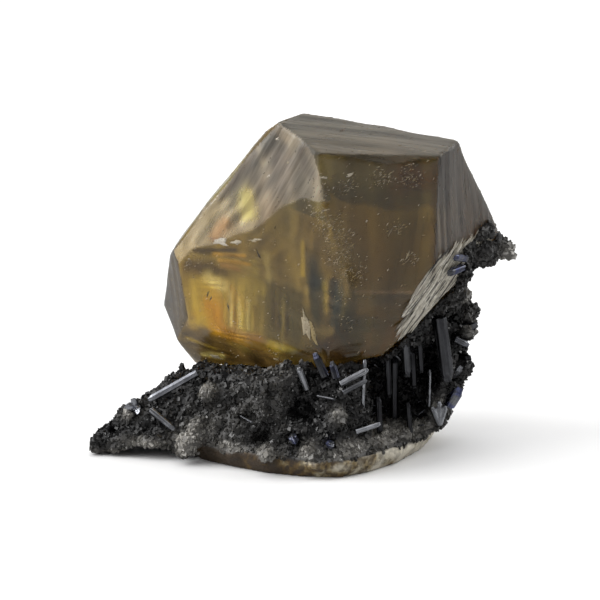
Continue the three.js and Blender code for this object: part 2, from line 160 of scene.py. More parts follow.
def mix(tree, factor, first, second, blend="MIX"):
    """A colour mix; factor, first and second are numbers, colours or output sockets."""
    inputs = {0: factor, 6: rgba(first), 7: rgba(second)}
    return node(tree, "ShaderNodeMix", inputs, data_type="RGBA", blend_type=blend).outputs[2]


def new_material(name):
    """A new material: itself, its tree and its Principled shader."""
    material = bpy.data.materials.new(name)
    material.use_nodes = True
    return material, material.node_tree, material.node_tree.nodes["Principled BSDF"]


def add_bump(tree, shader, height, strength, depth):
    """Tilts a shader's normal by a height from 0 to 1 that stands for a depth."""
    inputs = {"Height": height, "Strength": strength, "Distance": depth}
    fill(tree, shader, {"Normal": node(tree, "ShaderNodeBump", inputs)})


# %% World
ROOM_LOW = 0.22
ROOM_HIGH = 0.80
ROOM_FRONT = 0.45


def make_world():
    """White behind the stone; for other rays a room, brighter overhead and behind the stone."""
    world = bpy.data.worlds.new("studio")
    world.use_nodes = True
    tree = world.node_tree
    tree.nodes.clear()
    place = node(tree, "ShaderNodeTexCoord").outputs["Generated"]
    split = node(tree, "ShaderNodeSeparateXYZ", {0: place})
    room = ramp(tree, split.outputs["Z"], [(0.0, ROOM_LOW), (0.9, ROOM_HIGH)])
    backward = scaled(tree, split.outputs["Y"], 0.5, 0.5, clamp=True)
    room = mix(tree, 1, room, ramp(tree, backward, [(0.1, ROOM_FRONT), (0.7, 1.0)]), "MULTIPLY")
    seen = node(tree, "ShaderNodeLightPath").outputs["Is Camera Ray"]
    background = node(tree, "ShaderNodeBackground", {"Color": mix(tree, seen, room, (1, 1, 1))})
    node(tree, "ShaderNodeOutputWorld", {"Surface": background})
    bpy.context.scene.world = world


make_world()
bpy.context.scene.view_settings.view_transform = "Standard"

# %% Floor and soft boxes
FLOOR_SIZE = 6.0
FLOOR_DROP = 0.05 * MM
FLOOR_TONE = 0.86
FLOOR_GLOW = 0.50

# name: where it stands (m), its width and height (m), its power (W)
SOFT_BOXES = {
    "box_left": ((-0.62, -0.10, 0.34), (0.50, 0.60), 5.4),
    "box_right": ((0.60, 0.16, 0.30), (0.40, 0.55), 2.2),
    "box_top": ((-0.05, 0.10, 0.75), (1.10, 1.00), 4.2),
}


def new_mesh(name, corners, faces):
    """A mesh of some corners and faces."""
    mesh = bpy.data.meshes.new(name)
    mesh.from_pydata(corners, [], faces)
    return mesh


def make_floor():
    """A wide pale floor just under the specimen, which throws less light back than it shows."""
    half = FLOOR_SIZE / 2
    corners = [(-half, -half), (half, -half), (half, half), (-half, half)]
    mesh = new_mesh("floor", [(x, y, -FLOOR_DROP) for x, y in corners], [(0, 1, 2, 3)])
    material, tree, shader = new_material("floor_paper")
    seen = node(tree, "ShaderNodeLightPath").outputs["Is Camera Ray"]
    fill(tree, shader, {
        "Base Color": mix(tree, seen, FLOOR_GLOW, FLOOR_TONE),
        "Roughness": 0.9,
        "Specular IOR Level": 0.1,
    })
    mesh.materials.append(material)
    floor = add_object("floor", mesh)


def make_soft_box(name, place, size, power):
    """A rectangular area light turned towards the specimen."""
    data = bpy.data.lights.new(name, "AREA")
    data.shape = "RECTANGLE"
    data.size, data.size_y = size
    data.energy = power
    light = add_object(name, data)
    light.location = place
    light.rotation_euler = (AIM - Vector(place)).to_track_quat("-Z", "Y").to_euler()
    light.visible_camera = False


make_floor()
for name, (place, size, power) in SOFT_BOXES.items():
    make_soft_box(name, place, size, power)
print("soft boxes:", len(SOFT_BOXES))

# %% [markdown]
# ## Working from the solid model
# A loaded piece is loose triangles, which is fine to show but not to reshape. So each new surface
# starts from a copy whose shared corners are merged. The crystal's own flat faces are read back from
# its copy as planes: they say where a point lies against the crystal.

# %% Copies of the solids
MERGE = 0.001 * MM


def solid_copy(name, source):
    """A new object with the merged mesh of a solid, at the origin."""
    mesh = bpy.data.meshes.new(name)
    work = bmesh.new()
    work.from_mesh(nodes[source].data)
    bmesh.ops.remove_doubles(work, verts=work.verts, dist=MERGE)
    work.to_mesh(mesh)
    work.free()
    return add_object(name, mesh)


def bake_modifiers(thing):
    """Replaces an object's mesh by the one its modifiers give, and drops them."""
    bpy.context.view_layer.update()
    seen = thing.evaluated_get(bpy.context.evaluated_depsgraph_get())
    mesh = bpy.data.meshes.new_from_object(seen)
    old = thing.data
    thing.modifiers.clear()
    thing.data = mesh
    bpy.data.meshes.remove(old)
    mesh.name = thing.name


def keep_largest_shell(mesh):
    """Drops the small closed bubbles that a remesh can leave inside a body."""
    work = bmesh.new()
    work.from_mesh(mesh)
    unseen, shells = set(work.verts), []
    while unseen:
        shell, edge_of_it = [], [unseen.pop()]
        while edge_of_it:
            corner = edge_of_it.pop()
            shell.append(corner)
            for other in (link.other_vert(corner) for link in corner.link_edges):
                if other in unseen:
                    unseen.remove(other)
                    edge_of_it.append(other)
        shells.append(shell)
    shells.sort(key=len)
    if len(shells) > 1:
        bmesh.ops.delete(work, geom=sum(shells[:-1], []), context="VERTS")
        work.to_mesh(mesh)
    work.free()


def remesh(thing, voxel):
    """Gives an object an even skin of small quads."""
    modifier = thing.modifiers.new("even skin", "REMESH")
    modifier.mode = "VOXEL"
    modifier.voxel_size = voxel
    modifier.use_smooth_shade = True
    bake_modifiers(thing)
    keep_largest_shell(thing.data)


def read_points(mesh, field="co"):
    """The corners of a mesh, or their normals, as an array."""
    points = np.empty(len(mesh.vertices) * 3)
    mesh.vertices.foreach_get(field, points)
    return points.reshape(-1, 3)


def write_points(mesh, points):
    """Moves the corners of a mesh."""
    mesh.vertices.foreach_set("co", points.ravel())
    mesh.update()


# %% Crystal hull
def hull_copy(name, source):
    """The convex hull of a solid's corners as a new object."""
    made = solid_copy(name, source)
    work = bmesh.new()
    for corner in made.data.vertices:
        work.verts.new(corner.co)
    hull = bmesh.ops.convex_hull(work, input=work.verts)
    spare = set(hull["geom_interior"]) | set(hull["geom_unused"]) | set(hull["geom_holes"])
    spare = [corner for corner in spare if isinstance(corner, bmesh.types.BMVert)]
    bmesh.ops.delete(work, geom=spare, context="VERTS")
    bmesh.ops.recalc_face_normals(work, faces=work.faces)
    work.to_mesh(made.data)
    work.free()
    return made


crystal = hull_copy("calcite_clear", "calcite_crystal")

# %% The crystal's planes
SMALLEST_FACE = 3 * MM * MM
# Two triangles are of one face if their normals and their distances agree this well
SAME_NORMAL = 0.9995
SAME_DISTANCE = 0.1 * MM


def read_planes(mesh):
    """The large flat faces of a convex mesh: their unit normals and distances."""
    work = bmesh.new()
    work.from_mesh(mesh)
    found = []
    for face in work.faces:
        normal, area = face.normal.copy(), face.calc_area()
        distance = normal.dot(face.calc_center_median())
        for plane in found:
            if plane[0].dot(normal) > SAME_NORMAL and abs(plane[1] - distance) < SAME_DISTANCE:
                plane[2] += area
                break
        else:
            found.append([normal, distance, area])
    work.free()
    found = [plane for plane in found if plane[2] > SMALLEST_FACE]
    return np.array([plane[0] for plane in found]), np.array([plane[1] for plane in found])


face_normals, face_distances = read_planes(crystal.data)
print("crystal faces:", len(face_normals))


def direction(azimuth, tilt):
    """The unit vector of a direction in degrees: round from the right, and up from the level."""
    a, t = math.radians(azimuth), math.radians(tilt)
    return np.array([math.cos(t) * math.cos(a), math.cos(t) * math.sin(a), math.sin(t)])


def face_towards(azimuth, tilt):
    """The index of the crystal face that looks most nearly in a direction."""
    return int(np.argmax(face_normals @ direction(azimuth, tilt)))


def height_above_crystal(points):
    """How far each point lies outside the crystal; negative inside."""
    return (points @ face_normals.T - face_distances).max(axis=1)


# %% [markdown]
# ## The calcite crystal: its skin
# Calcite is clear, and this crystal is tinted a smoky olive gold right through, so much of its colour
# comes from how far light travels inside it. The skin decides how much of that shows. Growth left
# fine parallel lines on some faces, and time has rounded and chipped the edges. Both could be
# painted on, but they bend what is seen through the stone, so they are shaped in the mesh. The start
# is the convex hull of the solid's corners, given an even skin of small quads.

# %% Crystal skin
CRYSTAL_VOXEL = 0.26 * MM
remesh(crystal, CRYSTAL_VOXEL)
skin = read_points(crystal.data)
print("crystal skin:", len(crystal.data.polygons), "quads")

# %% [markdown]
# Every point of the skin belongs to the flat face that it lies on, and each face has its own growth
# lines. So each point gets its place in its own face: how far across the lines it is, and how far
# along them. The relief here and the fine lines in the material both follow that place.

# %% Looks of the faces
# face: its direction (azimuth, tilt), the way its lines run as (x, z), the height of its relief in
# mm, how etched it is, from 0, clear, to 1, satin, and its tint
FACE_LOOKS = {
    "top": ((-78, 59), (1.0, -0.13), 0.04, 0.62, (0.135, 0.125, 0.068)),
    "upper_left": ((-128.5, 1), (0.62, 0.78), 0.08, 0.8, (0.74, 0.65, 0.46)),
    "front": ((-83, 3), (0.1, 1.0), 0.015, 0.05, (0.155, 0.124, 0.042)),
    "right": ((-40.5, 1), (-0.12, 1.0), 0.04, 0.6, (0.105, 0.098, 0.088)),
    "pale_side": ((-37.5, -25), (0.66, 0.75), 0.08, 1.0, (0.50, 0.47, 0.40)),
    "lower_front": ((-82, -23.5), (1.0, 0.1), 0.02, 0.15, (0.110, 0.098, 0.031)),
    "left_front": ((-123.5, -8), (1.0, -0.1), 0.03, 0.1, (0.26, 0.195, 0.048)),
    "left": ((-153, -8.5), (0.1, 1.0), 0.015, 0.1, (0.03, 0.02, 0.009)),
    "lower_left": ((-129, -28.5), (1.0, -0.5), 0.03, 0.1, (0.21, 0.145, 0.052)),
}
# The faces behind take these in turn
BACK_LOOKS = [
    ((0.2, 1.0), 0.02, 0.10, (0.34, 0.27, 0.12)),
    ((1.0, 0.3), 0.02, 0.16, (0.30, 0.26, 0.15)),
    ((-0.3, 1.0), 0.02, 0.06, (0.38, 0.28, 0.10)),
]

# %% [markdown]
# The tint is not even within a face. The stone is golden low on the left, smoky in the middle and
# mossy on the right, with streaks where growth stopped and started. A noise pattern would put these
# anywhere, so each is laid as a stroke of a brush: from one place to another as seen from
# the front, with its width, its colour and its strength. The strokes only touch their own faces.

# %% Strokes of tint
STROKE_TONES = {
    "straw": (1.00, 0.90, 0.36), "cream": (0.84, 0.76, 0.58), "coral": (0.80, 0.46, 0.24),
    "honey": (0.95, 0.70, 0.09), "amber": (1.00, 0.55, 0.04), "citrine": (0.56, 0.46, 0.05),
    "olive": (0.50, 0.40, 0.075), "rust": (0.42, 0.22, 0.04), "bronze": (0.19, 0.13, 0.030),
    "lilac": (0.56, 0.45, 0.34), "slate": (0.17, 0.17, 0.14), "sage": (0.30, 0.24, 0.085),
    "fern": (0.105, 0.090, 0.030), "moss": (0.080, 0.070, 0.024), "hazel": (0.15, 0.11, 0.068),
    "russet": (0.110, 0.060, 0.018), "brown": (0.075, 0.045, 0.015), "umber": (0.030, 0.018, 0.007),
    "smoke": (0.030, 0.038, 0.028), "khaki": (0.160, 0.132, 0.044),
}

# start and end as (x, z) and width in mm, tone, strength
BODY_STROKES = [
    # Partly the stone's golden colour and partly a painted glow: this honey stroke brightens the lower left
    # where light shines through the stone
    ((-12.9, 23.6), (-13.4, 19.4), 2.9, "honey", 0.8),
    ((-8.4, 24.0), (-8.0, 18.0), 2.5, "olive", 0.85),
    ((-4.6, 25.0), (-4.0, 18.0), 1.5, "fern", 0.85),
    ((-1.6, 25.2), (-1.3, 18.6), 1.2, "fern", 0.75),
    ((-16.9, 26.6), (-16.4, 18.6), 0.8, "bronze", 0.8),
    ((-16.2, 26.3), (-13.0, 26.3), 1.4, "brown", 0.9),
    ((-16.0, 26.8), (-11.0, 26.4), 0.8, "umber", 0.75),
    ((-6.6, 28.8), (-6.3, 24.8), 0.9, "olive", 0.75),
    ((-5.0, 30.2), (-4.6, 26.4), 0.5, "straw", 0.22),
    ((-15.1, 29.1), (-9.3, 30.2), 0.4, "umber", 0.9),
    ((-12.4, 29.0), (-8.0, 29.5), 0.3, "amber", 0.5),
    ((-11.6, 28.2), (-7.4, 28.3), 0.35, "amber", 0.45),
    ((-11.2, 27.6), (-8.9, 27.3), 0.4, "rust", 0.8),
    ((-13.2, 24.8), (-11.5, 24.3), 1.1, "straw", 0.75),
    # Partly the stone's amber colour and partly a painted glow of the light shining through the stone low
    # on the left
    ((-12.9, 20.9), (-12.3, 17.2), 1.35, "amber", 0.95),
    ((-10.2, 23.6), (-10.1, 18.6), 0.35, "straw", 0.6),
    ((-8.9, 22.8), (-8.8, 18.4), 0.25, "straw", 0.5),
    ((-7.6, 22.6), (-7.6, 18.2), 0.3, "straw", 0.5),
    ((-6.6, 22.0), (-6.6, 18.4), 0.25, "bronze", 0.7),
    ((-3.7, 22.8), (-3.5, 19.0), 0.5, "brown", 0.6),
    ((-2.1, 21.6), (-2.2, 18.0), 0.45, "brown", 0.6),
    ((1.5, 31.6), (1.9, 27.4), 1.35, "smoke", 0.95),
    ((1.8, 26.4), (2.2, 21.6), 1.0, "smoke", 0.7),
    ((3.2, 27.4), (3.3, 23.0), 0.4, "olive", 0.6),
    ((0.2, 33.0), (0.2, 28.0), 0.3, "honey", 0.5),
    ((5.2, 31.2), (5.9, 24.4), 1.2, "khaki", 0.8),
    ((-0.6, 24.6), (-0.9, 17.4), 1.2, "fern", 0.85),
    ((2.4, 22.6), (3.2, 18.0), 1.4, "moss", 0.8),
    ((2.4, 19.6), (3.6, 18.4), 0.7, "bronze", 0.7),
    ((3.6, 18.6), (6.0, 16.2), 1.6, "umber", 1.0),
    ((-10.6, 16.9), (-6.4, 17.2), 1.0, "rust", 0.75),
    ((-4.3, 16.5), (-1.2, 16.1), 0.75, "citrine", 0.9),
    ((-18.0, 17.5), (-14.6, 13.6), 1.2, "hazel", 0.6),
    ((-13.9, 15.0), (-10.6, 13.2), 1.0, "brown", 0.5),
    ((-16.6, 14.8), (-12.4, 13.7), 0.25, "honey", 0.45),
    ((-15.4, 11.4), (-5.7, 13.4), 0.6, "brown", 0.6),
    ((-2.4, 15.4), (1.6, 16.2), 0.7, "brown", 0.7),
    # A painted highlight: a pale straw streak along the lower edge on the left
    ((-14.2, 12.3), (-11.6, 12.6), 0.4, "straw", 0.9),
    ((0.6, 35.6), (3.2, 30.5), 2.2, "bronze", 0.75),
    ((12.4, 42.4), (17.0, 41.8), 2.0, "russet", 0.7),
    ((14.3, 35.0), (13.4, 27.0), 3.0, "moss", 0.85),
    ((3.4, 43.6), (11.0, 42.8), 2.2, "sage", 0.8),
    ((6.7, 39.0), (9.7, 33.2), 2.0, "bronze", 0.45),
    ((18.3, 44.1), (18.4, 30.8), 0.6, "brown", 0.6),
    ((8.6, 23.6), (11.0, 23.2), 1.5, "bronze", 0.9),
    ((4.6, 20.6), (6.0, 18.2), 1.3, "umber", 1.0),
    ((2.6, 19.8), (4.0, 20.4), 0.8, "khaki", 0.85),
    ((4.3, 27.6), (4.5, 21.4), 0.75, "smoke", 1.0),
    ((4.5, 21.4), (6.3, 18.0), 0.35, "smoke", 0.85),
    ((7.4, 26.6), (15.4, 26.3), 0.16, "lilac", 0.4),
]
BACK_STROKES = [
    ((-15.0, 24.0), (-10.0, 16.0), 6.0, "honey", 0.9),
    ((-6.0, 40.0), (-10.0, 34.0), 4.0, "straw", 0.7),
    ((-18.8, 28.0), (-17.6, 12.0), 2.4, "umber", 0.9),
]
UPPER_STROKES = [
    ((-8.8, 36.4), (-11.6, 31.4), 2.4, "cream", 0.5),
    ((-6.6, 44.7), (-17.0, 30.6), 0.85, "hazel", 0.9),
    ((-3.0, 44.0), (-4.8, 46.6), 1.5, "slate", 0.9),
    ((-2.4, 42.0), (-4.0, 40.0), 1.0, "slate", 0.4),
    ((-2.3, 43.7), (-4.4, 36.2), 2.4, "lilac", 0.7),
    ((-6.1, 43.0), (-9.8, 37.0), 0.9, "slate", 0.75),
    # A painted highlight: a cream strip along the crystal's left edge
    ((-12.2, 36.6), (-17.0, 28.0), 0.9, "cream", 0.9),
    ((-10.8, 36.2), (-14.6, 30.4), 0.5, "slate", 0.6),
    ((-10.5, 34.0), (-12.3, 31.5), 0.8, "coral", 0.75),
    ((-9.3, 35.3), (-10.3, 33.4), 0.35, "brown", 0.6),
    ((-7.6, 38.4), (-7.5, 36.0), 1.2, "straw", 1.0),
    ((-0.2, 46.1), (1.4, 42.9), 0.8, "hazel", 0.5),
    ((-4.2, 47.6), (-2.6, 46.2), 0.9, "slate", 0.7),
]

# %% Waves, lumps and falloffs
def unit(values):
    """Values kept between 0 and 1."""
    return np.clip(values, 0, 1)


def bell(values):
    """1 at 0, falling off smoothly to both sides."""
    return np.exp(-values ** 2)


def sines(rng, values, lowest, highest, count=9):
    """A smooth random wave between about -1 and 1: a sum of sines of the values."""
    total = np.zeros(len(values))
    for rate in rng.uniform(lowest, highest, count):
        total += np.sin(values * rate + rng.uniform(0, 2 * math.pi))
    return total / math.sqrt(count)


def lumps(rng, points, per_mm, count=14):
    """A smooth random field between about -1 and 1: sines in many directions."""
    total = np.zeros(len(points))
    for _ in range(count):
        way = rng.normal(size=3)
        way *= rng.uniform(0.6, 1.4) * per_mm / np.linalg.norm(way)
        total += np.sin(points @ way / MM + rng.uniform(0, 2 * math.pi))
    return total / math.sqrt(count / 2)


def line_ways(normal, run):
    """The directions across and along the growth lines of a face."""
    along = np.array([run[0], 0, run[1]])
    along = along - normal * (along @ normal)
    along /= np.linalg.norm(along)
    return np.cross(normal, along), along


def nearness(points, place, reach):
    """1 at a place, falling off smoothly and evenly all round; place and reach in mm."""
    return bell(np.linalg.norm(points / MM - np.array(place), axis=1) / reach)


def ease(share):
    """A share from 0 to 1 with a soft start and a soft end."""
    return share * share * (3 - 2 * share)


def stroke_share(places, waver, start, end, width):
    """How much of a stroke falls on each (x, z) place in mm, with an edge that wavers."""
    start, way = np.array(start), np.subtract(end, start)
    along = unit((places - start) @ way / (way @ way))
    away = np.linalg.norm(places - start - np.outer(along, way), axis=1)
    return np.exp(-(away * waver / width) ** 3)


# %% Growth relief
RIB_RATES = (1.0, 4.5)
FINE_RATES = (7, 12)
FINE_SHARE = 0.35
FINE_SLANT = 0.02
# How the ribs come and go along their length: strength and rates
RIB_SWELL = 0.5
SWELL_RATES = (0.1, 0.4)
# A third measure that keeps the pattern of one face apart from that of the next
FACE_SHIFT = 3.7
SKIN_SEED = 7

FACES = {name: face_towards(*look[0]) for name, look in FACE_LOOKS.items()}
BODY = ("front", "left_front", "lower_front", "lower_left")
TINT_WOBBLE = 0.09
# Where the border between two looks leaves the edge of the faces: face, place, reach and push in mm
BORDER_BENDS = [
    ("upper_left", (2.5, -11.5, 45.9), 1.9, -1.0),
    ("top", (11.6, -10.6, 44.8), 4.2, 1.0),
    ("upper_left", (2.2, -11.4, 40.4), 1.8, 0.35),
]

heights = (skin @ face_normals.T - face_distances) / MM
ranked = np.sort(heights, axis=1)
edge_gap = ranked[:, -1] - ranked[:, -2]
rng = np.random.default_rng(SKIN_SEED)
wobbled = heights.copy()
wobbled[:, FACES["upper_left"]] += TINT_WOBBLE * lumps(rng, skin, 0.7)
for name, place, reach, push in BORDER_BENDS:
    wobbled[:, FACES[name]] += push * nearness(skin, place, reach)
owner = wobbled.argmax(axis=1)

growth = np.zeros((len(skin), 3))
tint = np.zeros((len(skin), 3))
relief = np.zeros(len(skin))
etched = np.zeros(len(skin))
looks = {FACES[name]: look[1:] for name, look in FACE_LOOKS.items()}
for index, normal in enumerate(face_normals):
    run, depth, dull, colour = looks.get(index, BACK_LOOKS[index % len(BACK_LOOKS)])
    mine = owner == index
    across, along = (skin[mine] @ way / MM for way in line_ways(normal, run))
    growth[mine] = np.column_stack([across, along, np.full(len(across), FACE_SHIFT * index)])
    etched[mine] = dull
    tint[mine] = colour
    ribs = sines(rng, across, *RIB_RATES) * (1 + RIB_SWELL * sines(rng, along, *SWELL_RATES, 4))
    fine = sines(rng, across + FINE_SLANT * along, *FINE_RATES)
    relief[mine] = depth * (ribs + FINE_SHARE * fine)
print("points on the named faces:", int(np.isin(owner, list(looks)).sum()))

# %% Tint
# Pairs of faces whose looks run into each other, and over how many mm of height they do
SOFT_PAIRS = [
    ("front", "left_front", 2.4), ("front", "top", 0.5), ("front", "upper_left", 0.35),
    ("left_front", "upper_left", 0.06),
]
# Strokes this bright are clear stone, so they take away this share of the etching
BRIGHT = 0.6
CLEARED = 0.8
VEIN_STRETCH = (1.0, 1.0, 0.2)
VEIN_STRENGTH = 0.2
# Places with fine threads: centre and reach as (x, z) in mm, the way they run, how fast they
# change across their run in radians per mm, and strength
LINED_PLACES = [
    ((-8.2, 21.6), (3.0, 4.2), (0.05, 1.0), (4, 9), 0.36),
    ((-8.6, 17.2), (3.2, 1.4), (1.0, 0.02), (7, 11), 0.42),
    ((-10.2, 28.8), (4.6, 1.6), (1.0, 0.08), (5, 10), 0.36),
    ((-13.0, 23.6), (2.6, 3.0), (1.0, 0.1), (5, 10), 0.16),
    ((-2.6, 21.4), (3.0, 4.6), (0.0, 1.0), (3, 8), 0.34),
    ((3.6, 25.4), (3.4, 7.0), (0.1, 1.0), (3, 7), 0.30),
    ((-12.0, 13.4), (5.0, 2.2), (1.0, -0.1), (4, 9), 0.34),
    ((2.0, 35.0), (4.6, 5.0), (0.2, 1.0), (2, 6), 0.16),
    ((-8.0, 38.0), (7.0, 9.0), (0.62, 0.78), (1.4, 4.5), 0.30),
]


# %% Laying on the tint
def blend_faces(first, second, width):
    """Runs the tint and the etching of two faces into each other across their edge."""
    a, b = FACES[first], FACES[second]
    near = np.isin(owner, (a, b))
    share = ease(unit(0.5 + (wobbled[near, b] - wobbled[near, a]) / (2 * width)))
    (dull_a, tint_a), (dull_b, tint_b) = looks[a][2:], looks[b][2:]
    tint[near] = np.outer(1 - share, tint_a) + np.outer(share, tint_b)
    etched[near] = (1 - share) * dull_a + share * dull_b


seen_from_front = skin[:, [0, 2]] / MM
waver = 1 + 0.14 * lumps(rng, skin, 0.9) + 0.08 * lumps(rng, skin, 2.6)
body = np.isin(owner, [FACES[name] for name in BODY])
upper = owner == FACES["upper_left"]
for pair in SOFT_PAIRS:
    blend_faces(*pair)
back = ~np.isin(owner, list(FACES.values()))
painted = ((body, BODY_STROKES), (upper, UPPER_STROKES), (back, BACK_STROKES))
for region, strokes in painted:
    for start, end, width, tone, strength in strokes:
        share = strength * region * stroke_share(seen_from_front, waver, start, end, width)
        tint += share[:, None] * (np.array(STROKE_TONES[tone]) - tint)
        etched *= 1 - CLEARED * share * (max(STROKE_TONES[tone]) > BRIGHT)
stretched = skin * np.array(VEIN_STRETCH)
veins = VEIN_STRENGTH * (lumps(rng, stretched, 1.2, 24) + 0.6 * lumps(rng, stretched, 3.0, 24))
for centre, reach, run, rates, strength in LINED_PLACES:
    along = seen_from_front @ np.array(run) / np.hypot(*run)
    across = seen_from_front @ np.array([run[1], -run[0]]) / np.hypot(*run)
    within = np.exp(-(((seen_from_front - np.array(centre)) / np.array(reach)) ** 2).sum(axis=1))
    threads = sines(rng, across, *rates, 7) * (1 + 0.6 * sines(rng, along, 0.5, 1.6, 4))
    veins += strength * within * threads
tint *= np.exp((body | upper) * veins)[:, None]
print("strokes of tint:", sum(len(strokes) for _, strokes in painted))

# %% Worn edges and chips
EDGE_WEAR = 0.12
EDGE_WIDTH = 0.35
SOFT_EDGE = 3.6
SOFT_FADE = 3.0
SKIN_RISE = 0.03
BROAD_SWELL = 0.03
# How far from an edge the relief reaches its full height, in mm
RELIEF_FADE = 0.6

# place in mm, radius and depth in mm
CHIPS = [
    ((-11.4, -3.9, 30.5), 1.8, 0.35),
    ((-8.4, -5.6, 31.4), 1.4, 0.3),
    ((3.0, -12.4, 39.4), 1.2, 0.3),
    ((7.2, -12.4, 39.9), 1.2, 0.3),
    ((-9.8, 0.5, 41.6), 1.7, 0.4),
]
# Where growth made the crystal fuller than its flat faces: place, reach and height in mm
SWELLS = [
    ((-6.0, -2.0, 45.5), 6.0, 0.40),
    ((-13.5, 2.5, 36.0), 6.0, 0.45),
    ((-17.2, 6.6, 30.0), 4.0, 0.25),
    ((-16.8, 8.6, 12.5), 3.5, 0.40),
    ((5.3, -5.6, 49.1), 3.5, 0.15),
    ((12.0, -6.0, 48.2), 4.5, 0.28),
    ((18.6, -6.5, 47.0), 3.5, 0.22),
    ((26.4, -1.2, 35.4), 4.2, 0.35),
]

# %% The finished skin
wear = np.exp(-edge_gap / EDGE_WIDTH) * (0.9 + 0.7 * lumps(rng, skin, 1.1))
sunk = relief * unit(edge_gap / RELIEF_FADE) - EDGE_WEAR * np.clip(wear, 0, None)
sunk += BROAD_SWELL * lumps(rng, skin, 0.35)
pair = [FACES["front"], FACES["left_front"]]
two = heights[:, pair]
others = np.delete(heights, pair, axis=1).max(axis=1)
fade = unit((two.max(axis=1) - others) / SOFT_FADE)
bend = np.clip(SOFT_EDGE - np.abs(two[:, 0] - two[:, 1]), 0, None)
sunk -= ease(fade) * bend ** 2 / (4 * SOFT_EDGE)
for place, radius, depth in CHIPS:
    away = np.linalg.norm(skin / MM - np.array(place), axis=1) / radius
    sunk -= depth * unit(1 - away * away)
for place, reach, height in SWELLS:
    sunk += height * nearness(skin, place, reach)
outward = read_points(crystal.data, "normal")
skin = np.clip(skin + outward * ((sunk + SKIN_RISE) * MM)[:, None], *cad_box)
write_points(crystal.data, skin)
print("relief in mm:", round(float(sunk.min()), 2), "to", round(float(sunk.max()), 2))


# %% Point measures
def store(mesh, **measures):
    """Stores measures for the materials to read: at each point a number or three, or one for all."""
    count = len(mesh.vertices)
    for name, values in measures.items():
        values = np.asarray(values, dtype=np.float32)
        if values.shape[:1] != (count,):
            values = np.broadcast_to(values, (count, *values.shape))
        kind, field = ("FLOAT", "value") if values.ndim == 1 else ("FLOAT_VECTOR", "vector")
        layer = mesh.attributes.get(name) or mesh.attributes.new(name, kind, "POINT")
        layer.data.foreach_set(field, values.ravel())


store(crystal.data, growth=growth, tint=tint, etched=etched)

# %% [markdown]
# ## The calcite material
# The body is glass with an absorbing volume, which gives the golden depth. Real calcite is seldom
# quite clear: etching and tiny flaws scatter a part of the light at the skin. A transmission well
# under one leaves that part to the base colour, which follows the face and its growth lines.
# The lines serve the metal prisms too, so they are a node group.

# %% Growth lines as a node group
def new_group(name, kind, inputs, outputs):
    """An empty node group with sockets given as {name: kind}: its tree and its two ends."""
    tree = bpy.data.node_groups.new(name, kind)
    for way, sockets in (("INPUT", inputs), ("OUTPUT", outputs)):
        for title, socket in sockets.items():
            tree.interface.new_socket(title, in_out=way, socket_type="NodeSocket" + socket)
    return tree, node(tree, "NodeGroupInput"), node(tree, "NodeGroupOutput")


def soft_noise(tree, place, scale, detail, contrast):
    """Noise about 0.5, spread by a contrast and kept between 0 and 1."""
    noise = node(tree, "ShaderNodeTexNoise", {"Vector": place, "Scale": scale, "Detail": detail})
    centred = maths(tree, "SUBTRACT", noise.outputs["Fac"], 0.5)
    return scaled(tree, centred, contrast, 0.5, clamp=True)


def make_growth_lines():
    """Lines of random strength along the second axis of a place given in mm."""
    inputs = {"Place": "Vector", "Lines per mm": "Float", "Length mm": "Float", "Contrast": "Float"}
    tree, start, end = new_group("growth_lines", "ShaderNodeTree", inputs, {"Lines": "Float"})
    given = start.outputs
    split = node(tree, "ShaderNodeSeparateXYZ", {0: given["Place"]}).outputs
    joined = node(tree, "ShaderNodeCombineXYZ", {
        "X": maths(tree, "MULTIPLY", split["X"], given["Lines per mm"]),
        "Y": maths(tree, "DIVIDE", split["Y"], given["Length mm"]),
        "Z": split["Z"],
    })
    fill(tree, end, {"Lines": soft_noise(tree, joined, 1, 3, given["Contrast"])})
    return tree


growth_lines = make_growth_lines()


def lines(tree, place, per_mm, length, contrast):
    """Growth lines placed in a material's tree."""
    inputs = {"Place": place, "Lines per mm": per_mm, "Length mm": length, "Contrast": contrast}
    return node(tree, "ShaderNodeGroup", inputs, node_tree=growth_lines).outputs["Lines"]


def noise_at(tree, per_mm, detail=2.0, contrast=3.0):
    """Noise on Object coordinates with its detail size given per mm, 0 to 1."""
    place = node(tree, "ShaderNodeTexCoord").outputs["Object"]
    return soft_noise(tree, place, per_mm / MM, detail, contrast)


def attribute(tree, name, output="Fac"):
    """A stored point measure, read in a material."""
    return node(tree, "ShaderNodeAttribute", attribute_name=name).outputs[output]


# %% Calcite material
CALCITE_IOR = 1.58
CALCITE_SHINE = 0.35
CLEARNESS = 0.72
GOLD = (0.73, 0.58, 0.06)
GOLD_DENSITY = 105


def make_calcite():
    """Smoky golden calcite, clear or satin by face, with an absorbing body."""
    material, tree, shader = new_material("calcite_body")
    place = attribute(tree, "growth", "Vector")
    satin = attribute(tree, "etched")
    tint = attribute(tree, "tint", "Vector")
    fine = lines(tree, place, 4, 6, 4)
    streak = mix(tree, 0.35, lines(tree, place, 0.8, 16, 5), fine)
    dark = mix(tree, 1, tint, (0.42, 0.39, 0.36), "MULTIPLY")
    pale = mix(tree, 0.32, tint, (1.0, 0.95, 0.82))
    base = mix(tree, satin, tint, mix(tree, streak, dark, pale))
    brown = mix(tree, 1, base, (1.0, 0.80, 0.62), "MULTIPLY")
    rough = scaled(tree, satin, 0.26, 0.11)
    fill(tree, shader, {
        "Base Color": mix(tree, maths(tree, "MULTIPLY", noise_at(tree, 0.07), 0.5), base, brown),
        "Roughness": maths(tree, "ADD", rough, maths(tree, "MULTIPLY", fine, 0.08)),
        "Transmission Weight": CLEARNESS,
        "IOR": CALCITE_IOR,
        "Specular IOR Level": CALCITE_SHINE,
    })
    add_bump(tree, shader, maths(tree, "MULTIPLY", fine, satin), 0.25, 0.05 * MM)
    body = node(tree, "ShaderNodeVolumeAbsorption", {"Color": rgba(GOLD), "Density": GOLD_DENSITY})
    fill(tree, tree.nodes["Material Output"], {"Volume": body})
    return material


